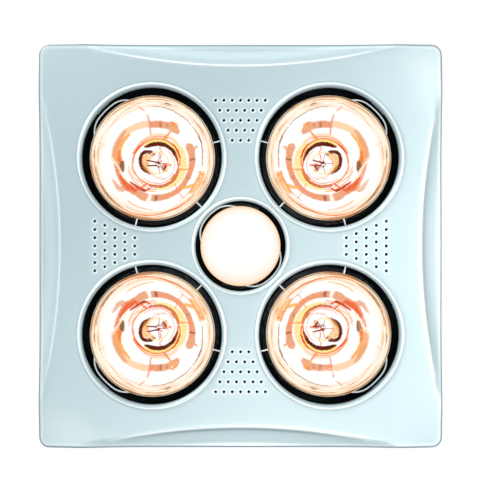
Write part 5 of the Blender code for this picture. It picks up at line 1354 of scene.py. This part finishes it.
def make_scroll():
    form = Form()
    outer, inner, proud = (spiral_points(offset) for offset in (SCROLL_WALL, 0, SCROLL_WALL + 0.0011))
    middle, top = (SCROLL_LOW + SCROLL_HIGH) / 2, SCROLL_HIGH
    # Up the outside with its seam and rolled upper edge, which stand proud, then down the inside
    skins = [(outer, SCROLL_LOW), (outer, middle - 0.0030), (proud, middle - 0.0012)]
    skins += [(proud, middle + 0.0012), (outer, middle + 0.0030), (outer, top - 0.0050)]
    skins += [(proud, top - 0.0040), (proud, top + 0.0004), (outer, top + 0.0011)]
    skins += [(inner, top + 0.0006), (inner, SCROLL_LOW)]
    form.sweep([[(*plan[i], level) for plan, level in skins] for i in range(len(outer))])
    holes = [circle(0.0048, steps=32)] + [circle(SCREW_HOLE, spot.xy, 16) for spot in motor_screw_spots(0)]
    form.plate(outer, SCROLL_HIGH - SCROLL_WALL, SCROLL_HIGH, holes)
    outlet_plate(form, OUTLET_X - PLATE)
    for angle in (math.radians(ear) for ear in EARS):
        spin = Matrix.Rotation(angle, 4, "Z")
        reach = spiral_reach(angle) + EAR / 2
        form.block((EAR + SCROLL_WALL, EAR, PLATE), (reach, 0, SCROLL_LOW + PLATE / 2), 0.0004, spin)
        rivet(form, spin @ Vector((reach + 0.0018, 0, SCROLL_LOW + PLATE)), (0, 0, 1), 0.0034, 0.0013)
    form.piece("fan_volute", ZINC_SHEET, "fan_scroll")

    ring = Form()
    bell = [(61.7, 0), (61.7, 1), (54, 1), (51.4, 1.7), (50.2, 4), (48.9, 4), (48.7, 2), (50, 0)]
    ring.lathe(section(SCROLL_LOW, *bell), 96, closed=True)
    ring.piece("fan_inlet_bell", ZINC_SHEET, "fan_inlet_ring")


def make_impeller():
    form = Form()
    disc_low, rim_high = IMPELLER_HIGH - 0.0016, IMPELLER_LOW + 0.0025
    hub = section(IMPELLER_HIGH, (3.3, 0), (30, 0), (32, -0.5), (50, -0.5), (52, 0), (63.6, 0), (64, -0.4))
    hub += section(disc_low, (64, 0), (11, 0), (8.6, -1.5), (8, -4))
    hub += section(IMPELLER_HIGH, (7.7, -13.4), (7.2, -14), (3.3, -14))
    rim = section(IMPELLER_LOW, (49, 0.4), (49.4, 0), (63.6, 0), (64, 0.4), (64, 2.5), (49, 2.5))
    form.lathe(hub, 96, closed=True)
    form.lathe(rim, 96, closed=True)
    length = (IMPELLER[1] - IMPELLER[0]) * 0.92
    middle = (IMPELLER[0] + IMPELLER[1]) / 2
    shares = np.linspace(0, 1, 9)
    line = [((share - 0.5) * length, 0.0012 * (1 - (2 * share - 1) ** 2) - 0.0006) for share in shares]
    blade = [(x, y + 0.0005) for x, y in line] + [(x, y - 0.0005) for x, y in line[::-1]]
    rings = [[(*p, level) for p in blade] for level in (rim_high - 0.0004, disc_low + 0.0004)]
    for number in range(BLADES):
        turn = Matrix.Rotation(TAU * number / BLADES, 4, "Z")
        form.sweep(rings, turn @ at(middle, 0, 0) @ Matrix.Rotation(LEAN, 4, "Z"))
    for number in range(6):
        turn = Matrix.Rotation(TAU * number / 6, 4, "Z")
        form.block((0.020, 0.0012, 0.0030), (0.0175, 0, disc_low - 0.0013), 0.0002, turn)
    form.piece("fan_wheel", NYLON, "fan_impeller", body="fan_rotor")


def make_motor():
    case = Form()
    lower = section(MOTOR_LOW, (-1.2, 0), (0, 0), (0, 11), (0.7, 11.8), (0.7, 14.2), (0, 15), out=MOTOR)
    upper = [(0, -3), (-0.4, -1.5), (-1.5, -0.4), (-3, 0), (-3.4, 0), (-3.4, -1.2), (-1.2, -3)]
    case.lathe(lower + section(MOTOR_HIGH, *upper, out=MOTOR), 96, closed=True)
    slot = soft_rectangle((0.0165, -0.0016), (0.0285, 0.0016), 0.0015, 4)
    spins = [Matrix.Rotation(TAU * turn / 12, 2) for turn in range(12)]
    slots = [[tuple(spin @ Vector(p)) for p in slot] for spin in spins]
    case.plate(circle(MOTOR - 0.0032, steps=96), MOTOR_HIGH - MOTOR_WALL, MOTOR_HIGH, slots)
    case.lathe(section(MOTOR_HIGH, (10.5, -0.1), (9.8, -0.3), (9, -0.1)), 48, closed=True)
    case.piece("motor_case", ZINC, "motor_casing")

    holes = [circle(SCREW_HOLE, spot.xy, 16) for spot in motor_screw_spots(0)]
    base = Form()
    base.plate(circle(0.050, steps=96), *MOTOR_PLATE, [circle(0.0073, steps=40), *holes])
    base.piece("motor_plate", ZINC_SHEET, "motor_base_plate")

    pad = Form()
    level = SCROLL_HIGH + GAP
    pad.plate(circle(PAD[1], steps=96), level, level + 0.0030, [circle(PAD[0], steps=80), *holes])
    pad.piece("motor_mounting_pad", RUBBER, "motor_mount_ring")

    for number, spot in enumerate(motor_screw_spots(MOTOR_LOW), 1):
        make_screw(f"motor_fixing_{number}", f"motor_screw_{number}", spot, (0, 0, 1))


# Duct spigot and its damper
DUCT = (0.0475, 0.049)
DUCT_START, DUCT_END = 0.1668, 0.2168
DUCT_AXIS = Vector((0, 0.059, 0.2189))
DUCT_RIB = 0.0009
SIDE_RIVETS = ((0.0065, 0.186), (0.0065, 0.226), (0.1115, 0.186), (0.1115, 0.226))
TOP_RIVETS = ((0.036, 0.2414), (0.082, 0.2414))
DAMPER_AXIS = Vector((0.1918, 0.059, 0.2309))
FLAP = 0.0455
FLAP_HALF = 0.0006
PIN = 0.0015
KNUCKLE = 0.0032


def adaptor_ring(x, share, offset, count=96):
    """Points round the adaptor: the outlet's rectangle at share 0, the round duct at share 1."""
    floor, roof = OUTLET_LEVELS
    half_y, half_z = (OUTLET[1] - OUTLET[0]) / 2, (roof - floor) / 2
    middle = Vector((0, (OUTLET[0] + OUTLET[1]) / 2, (roof + floor) / 2))
    ring = []
    for i in range(count):
        angle = TAU * (i + 0.5) / count
        y, z = math.cos(angle), math.sin(angle)
        reach = ((abs(y) / half_y) ** 14 + (abs(z) / half_z) ** 14) ** (-1 / 14)
        beyond = (math.copysign(offset, y), math.copysign(offset, z))
        square = middle + Vector((0, y * reach + beyond[0], z * reach + beyond[1]))
        round_one = DUCT_AXIS + Vector((0, y * (DUCT[0] + offset), z * (DUCT[0] + offset)))
        ring.append(square.lerp(round_one, share * share * (3 - 2 * share)) + Vector((x, 0, 0)))
    return ring


def make_adaptor():
    form = Form()
    start = OUTLET_X + GAP
    wall = DUCT[1] - DUCT[0]
    outer, inner = [], []
    for share in np.linspace(0, 1, 15):
        x = start + PLATE + (DUCT_START - start - PLATE) * share
        outer.append(adaptor_ring(x, share, wall))
        inner.append(adaptor_ring(x, share, 0))
    for share in (0.3, 0.78, 0.80, 0.82, 0.84, 0.94, 0.955, 0.97, 0.985):
        rise = DUCT_RIB if share in (0.80, 0.82, 0.955, 0.97) else 0
        outer.append(adaptor_ring(DUCT_START + (DUCT_END - DUCT_START) * share, 1, wall + rise))
    outer += [adaptor_ring(DUCT_END - 0.0003, 1, wall - 0.0001), adaptor_ring(DUCT_END, 1, wall / 2)]
    inner.append(adaptor_ring(DUCT_END - 0.0003, 1, 0.0001))
    form.sweep(outer + inner[::-1], closed=True)
    outlet_plate(form, start)
    for spot in SIDE_RIVETS + TOP_RIVETS:
        rivet(form, (start + PLATE, *spot), (1, 0, 0), 0.0027, 0.0010)
    form.piece("duct_spigot", ZINC_SHEET, "duct_adaptor")


def make_damper():
    """The flap, cut in two by its hinge's barrel, with three ribs below it, and the pin that it hangs on."""
    form = Form()
    rise = DAMPER_AXIS.z - DUCT_AXIS.z
    below, above = math.acos((rise - 0.0024) / FLAP), math.acos((rise + 0.0024) / FLAP)
    for start, end, steps in ((below, TAU - below, 72), (-above, above, 40)):
        edge = [(FLAP * math.sin(a), FLAP * math.cos(a)) for a in np.linspace(start, end, steps)]
        plan = [(DUCT_AXIS.y + y, DUCT_AXIS.z + z) for y, z in edge[::-1]]
        form.plate(plan, DAMPER_AXIS.x - FLAP_HALF, DAMPER_AXIS.x + FLAP_HALF, place=UPRIGHT)
    half = math.sqrt(FLAP**2 - rise**2) - 0.0020
    barrel = [(PIN + GAP, -half), (KNUCKLE, -half), (KNUCKLE, half), (PIN + GAP, half)]
    form.lathe(barrel, 40, facing(DAMPER_AXIS, (0, 1, 0)), closed=True)
    for share in (0.35, 0.6, 0.85):
        width = math.sqrt(FLAP**2 - (FLAP * share) ** 2) - 0.006
        level = DUCT_AXIS.z - FLAP * share
        path = [(DAMPER_AXIS.x, DUCT_AXIS.y + width * s, level) for s in np.linspace(-1, 1, 9)]
        form.tube(path, 0.0010, 10)
    form.piece("backdraught_flap", ZINC, "damper_flap", body="damper")

    pin = Form()
    end = DUCT[1] + GAP
    head = section(end, (0, 1.2), (2.2, 1.2), (3.0, 0.6), (3.0, 0)) + [(PIN, end)]
    pin.lathe(head + [(r, -z) for r, z in head[::-1]], 28, facing(DAMPER_AXIS, (0, 1, 0)))
    pin.piece("flap_pin", ZINC, "damper_pin")


# Wiring box
BOX_X = (-0.2063, -0.1723)
BOX_Y, BOX_Z = 0.045, (0.060, 0.122)
BOX_WALL = 0.0015
BOX_FLOOR = BOX_X[1] - BOX_WALL
LID_X = (-0.2084, -0.2066)
LID_SCREWS = ((-0.0395, 0.1165), (0.0395, 0.0655))
GLAND = Vector((-0.1893, -0.045, 0.0807))
TERMINAL_WIDE, TERMINAL_TALL, TERMINAL_DEEP, POLES = 0.056, 0.018, 0.016, 5
CUTOUT_X = -0.120


def box_loop(inset, radius, ends=0.0):
    """A rounded loop inside the box's outline, further in at its ends by this much more."""
    side = BOX_Y - inset - ends
    return soft_rectangle((-side, BOX_Z[0] + inset), (side, BOX_Z[1] - inset), radius, 6)


def make_wiring_box():
    form = Form()
    around, inner = box_loop(0, 0.0030), box_loop(BOX_WALL, 0.0015)
    holes = [circle(WIRE_HOLE_RADIUS, WIRE_HOLE, 32), circle(SCREW_HOLE, EARTH, 16)]
    form.plate(around, BOX_FLOOR, BOX_X[1], holes, UPRIGHT)
    back, front = BOX_X[1] - BOX_WALL / 2, BOX_X[0]
    loops = [(back, around), (front + 0.0004, around), (front, box_loop(0.0004, 0.0026))]
    loops += [(front, inner), (back, inner)]
    form.sweep([[(x, *p) for p in loop] for x, loop in loops], closed=True)
    boss = [(0.0021, -front), (0.0044, -front), (0.0047, -back), (0.0021, -back)]
    for y, z in LID_SCREWS:
        form.lathe(boss, 32, facing((0, y, z), (-1, 0, 0)), closed=True)
    form.piece("connection_box", WHITE_PLASTIC, "wiring_box")

    lid = Form()
    holes = [circle(SCREW_HOLE, spot, 24) for spot in LID_SCREWS]
    lid.plate(around, LID_X[0] + 0.0006, LID_X[1], holes, UPRIGHT)
    lid.plate(box_loop(0.0040, 0.0060, 0.0050), LID_X[0], LID_X[0] + 0.0007, place=UPRIGHT)
    lid.piece("connection_box_lid", WHITE_PLASTIC, "wiring_box_lid")

    for number, spot in enumerate(LID_SCREWS, 1):
        make_screw(f"lid_fixing_{number}", f"lid_screw_{number}", (LID_X[0] - GAP, *spot), (-1, 0, 0))
    make_screw("earth_fixing", "earth_screw", (BOX_FLOOR - GAP, *EARTH), (-1, 0, 0), BRASS)


def make_terminals():
    form = Form()
    back, front = BOX_FLOOR - GAP, BOX_FLOOR - GAP - TERMINAL_DEEP
    level = BOX_Z[0] + (BOX_Z[1] - BOX_Z[0]) / 3
    form.block((0.0040, TERMINAL_WIDE, TERMINAL_TALL * 0.7), (back - 0.0020, 0, level), 0.0004)
    pitch = TERMINAL_WIDE / POLES
    deep = TERMINAL_DEEP - 0.0030
    collar = section(0, (0, -1), (2.9, -1), (2.9, 0), (2.1, 0), (1.9, -0.4), (0, -0.4))
    head = section(0, (0, -0.3), (1.8, -0.3), (1.8, -0.1), (0, -0.1))
    mouth = section(0, (0, -0.2), (2.6, -0.2), (2.6, 0.1), (2.0, 0.1), (2.0, -0.1), (0, -0.1))
    for pole in range(POLES):
        y = (pole - (POLES - 1) / 2) * pitch
        form.block((deep, pitch * 0.86, TERMINAL_TALL), (back - 0.0030 - deep / 2, y, level), 0.0009)
        for up in (-1, 1):
            place = facing((front, y, level + up * TERMINAL_TALL * 0.24), (-1, 0, 0))
            form.lathe(collar, 24, place)
            form.lathe(head, 24, place, 1)
            # A dark bar, painted shade standing for the screw's slot
            form.block((0.0034, 0.0006, 0.0002), (0, 0, -0.0001), 0.00004, place, 2, 1)
            # A dark disc, painted shade standing for the wire's entry hole
            entry = facing((back - TERMINAL_DEEP * 0.55, y, level + up * TERMINAL_TALL / 2), (0, 0, up))
            form.lathe(mouth, 24, entry, 2)
    form.piece("terminal_strip", [WHITE_PLASTIC, ZINC, DARK_GLASS_AND_RECESS_SHADE], "terminal_block")


def ribbed(count, depth):
    """Turns a lathe's outer skin into this many ribs."""
    return lambda r, z, angle: r * (1 + (r > 0.0100) * depth * (0.5 + 0.5 * math.cos(count * angle)))


def make_gland():
    place = facing(GLAND, (0, -1, 0))
    form = Form()
    hexagon = section(GAP, (7.9, 0), (11.8, 0), (12.5, 0.6), (12.5, 3.4), (11.8, 4), (7.9, 4))
    form.lathe(hexagon, 6, place, closed=True)
    nut = GAP + 0.0040
    cap = section(nut, (10.6, 0), (10.6, 4.6), (10.1, 6.6), (9, 8.5), (7.8, 10), (6.2, 10), (6, 0))
    form.lathe(cap, 72, place, closed=True, radius=ribbed(18, 0.035))
    seal = section(nut, (4.5, 9), (5, 9.6), (6.2, 9.2), (6.2, -2), (4.5, -2))
    form.lathe(seal, 40, place, 1, closed=True)
    inner_end = -(BOX_WALL + 0.0090)
    coarse = [(0.0078 - 0.0004 * (step % 2), z) for step, z in enumerate(np.linspace(GAP, inner_end, 20))]
    form.lathe(coarse + [(0.0050, inner_end), (0.0045, GAP)], 48, place, closed=True)
    form.piece("cord_gland", [NYLON, RUBBER], "cable_gland")

    locknut = Form()
    ring = [(8.1, 0), (10.4, 0), (10.7, -0.6), (10.7, -2.9), (10.4, -3.5), (8.1, -3.5)]
    ring = section(-(BOX_WALL + GAP), *ring)
    locknut.lathe(ring, 72, place, closed=True, radius=ribbed(12, 0.028))
    locknut.piece("gland_nut", NYLON, "gland_locknut")

    grommet = Form()
    ring = section(GAP + BOX_WALL + GAP, (4.5, 0.7), (4.9, 1.2), (7.3, 1.2), (7.9, 0.7), (7.9, 0), (5.7, 0))
    ring += section(-SHEET - GAP, (5.7, 0), (4.5, 0))
    grommet.lathe(ring, 48, facing((-HOUSE, *WIRE_HOLE), (-1, 0, 0)), closed=True)
    grommet.piece("wire_bush", RUBBER, "wire_grommet")


def make_cutout():
    form = Form()
    high = TOP - SHEET - GAP
    place = at(CUTOUT_X, 0, 0)
    plate = section(high, (0, 0), (11.8, 0), (12, -0.3), (12, -0.8), (11.6, -1), (0, -1))
    body = section(high, (0, -0.8), (8.2, -0.8), (8.2, -4), (8, -4.5), (8, -8.2), (7.4, -9), (0, -9))
    form.lathe(plate, 56, place, 1)
    form.lathe(body, 56, place)
    for side in (-1, 1):
        form.block((0.0063, 0.0008, 0.0060), (CUTOUT_X, side * 0.0042, high - 0.0118), 0.0002, mark=1)
        rivet(form, (CUTOUT_X + side * 0.0098, 0, high - 0.0010), (0, 0, -1), 0.0013, 0.0006, 1)
    form.piece("thermal_switch", [NYLON, ZINC], "thermal_cutout")


make_fascia()
make_fascia_fittings()
for number, centre in enumerate(LAMPS, 1):
    nodes = [f"heat_lamp_{part}_{number}" for part in ("glass", "cap", "filament")]
    make_lamp(f"heat_lamp_{number}", centre, HEAT, nodes)
make_lamp("centre_lamp", (0, 0, 0), CENTRE, ["centre_lamp_glass", "centre_lamp_cap", "centre_lamp_filament"])
make_guards()
make_housing()
make_housing_top()
make_flange()
for number, centre in enumerate(LAMPS, 1):
    make_holder(f"heat_lampholder_{number}", centre, HEAT, f"lampholder_{number}")
make_holder("centre_socket", (0, 0, 0), CENTRE, "centre_lampholder")
make_bridge()
make_scroll()
make_impeller()
make_motor()
make_adaptor()
make_damper()
make_wiring_box()
make_terminals()
make_gland()
make_cutout()

# Nodes that keep their solids
for entry in frame["record"]["subparts"]:
    node = frame["nodes"][entry["node"]]
    node.data.materials.clear()
    node.data.materials.append(SLOTS[entry["material_slot"]])


# Camera, light and floor
CAMERA_LEVEL = -1.318
FILM = 36
PHOTO = 480
PIXEL = 0.0010040
FLOOR = (-1.72, -1.70)
# Square soft lights that face the unit: name, place, side and power
SOFT_LIGHTS = (
    ("top", (0, -1.5, -0.65), 0.9, 4.4),
    ("top_left", (-1.05, -1.15, -0.65), 0.9, 22.5),
    ("left", (-1.5, 0, -0.65), 0.9, 2.9),
    ("right", (1.5, 0.1, -0.8), 0.9, 5.6),
    ("right_near", (0.85, 0.1, -1.30), 0.5, 7.0),
    ("bottom", (0.1, 1.5, -0.65), 0.9, 3.1),
    ("over_right", (0.9, -0.8, 1.6), 1.2, 17),
    ("over_left", (-1.4, 0.9, 1.0), 1.0, 8),
)
# Soft beams at the face's lower and right edges and two corners: name, place, aim, cone in degrees and power
BEAMS = (
    ("beam_bottom", (0.15, 0.75, -1.40), (0.03, 0.20, 0), 22, 27.5),
    ("beam_right", (0.70, 0.05, -1.45), (0.19, 0, 0), 20, 17.0),
    ("beam_top_right", (0.55, -0.45, -1.45), (0.20, -0.18, 0), 14, 7.0),
    ("beam_bottom_left", (-0.45, 0.55, -1.45), (-0.18, 0.20, 0), 14, 5.2),
)
BEAM_COLOUR = (1.0, 0.94, 0.87)


def add_light(name, kind, place, target, power, **settings):
    data = bpy.data.lights.new(name, kind)
    data.energy = power
    for key, value in settings.items():
        setattr(data, key, value)
    light = bpy.data.objects.new(name, data)
    bpy.context.scene.collection.objects.link(light)
    light.location = place
    light.rotation_euler = (Vector(target) - Vector(place)).to_track_quat("-Z", "Y").to_euler()


def make_world():
    """Pale blue light from all round, seen as plain white by the camera and in glossy and clear surfaces."""
    world = bpy.data.worlds.new("studio")
    bpy.context.scene.world = world
    world.use_nodes = True
    tree = world.node_tree
    pale = tree.nodes["Background"]
    pale.inputs["Color"].default_value = (0.93, 0.97, 1.0, 1)
    pale.inputs["Strength"].default_value = 0.42
    white = add_node(tree, "ShaderNodeBackground", {"Color": (1, 1, 1, 1), "Strength": 1.0})
    path = add_node(tree, "ShaderNodeLightPath").outputs
    rays = {0: path["Is Camera Ray"], 1: path["Is Glossy Ray"]}
    seen = add_node(tree, "ShaderNodeMath", rays, operation="MAXIMUM").outputs[0]
    rays = {0: seen, 1: path["Is Transmission Ray"]}
    seen = add_node(tree, "ShaderNodeMath", rays, operation="MAXIMUM").outputs[0]
    both = add_node(tree, "ShaderNodeMixShader", {0: seen, 1: pale.outputs[0], 2: white.outputs[0]})
    tree.links.new(both.outputs[0], tree.nodes["World Output"].inputs["Surface"])


def make_stage():
    scene = bpy.context.scene
    camera = bpy.data.objects.new("camera", bpy.data.cameras.new("camera"))
    scene.collection.objects.link(camera)
    camera.location = (0, 0, CAMERA_LEVEL)
    camera.rotation_euler = (math.pi, 0, 0)
    camera.data.sensor_width = FILM
    camera.data.lens = FILM * -CAMERA_LEVEL / (PHOTO * PIXEL)
    camera.data.shift_x = -0.5 / PHOTO
    camera.data.shift_y = 6.1 / PHOTO
    scene.camera = camera
    scene.view_settings.view_transform = "Standard"

    form = Form()
    form.plate(circle(9.0, steps=96), *FLOOR)
    mesh = bpy.data.meshes.new("floor")
    mesh.from_pydata(form.points, [], form.faces)
    floor = bpy.data.objects.new("floor", mesh)
    scene.collection.objects.link(floor)
    made = Finish("pale_floor")
    made.drive("Base Color", made.two_tones(made.noise(1.2, 3), srgb(226, 226, 226), srgb(234, 234, 233)))
    made.drive("Roughness", made.spread(made.noise(3, 2), 0.7, 0.85))
    mesh.materials.append(made.material)

    make_world()
    for name, place, side, power in SOFT_LIGHTS:
        add_light(name, "AREA", place, (0, 0, 0), power, shape="SQUARE", size=side)
    for name, place, target, cone, power in BEAMS:
        cone = {"spot_size": math.radians(cone), "spot_blend": 1.0, "shadow_soft_size": 0.12}
        add_light(name, "SPOT", place, target, power, color=BEAM_COLOUR, **cone)


make_stage()
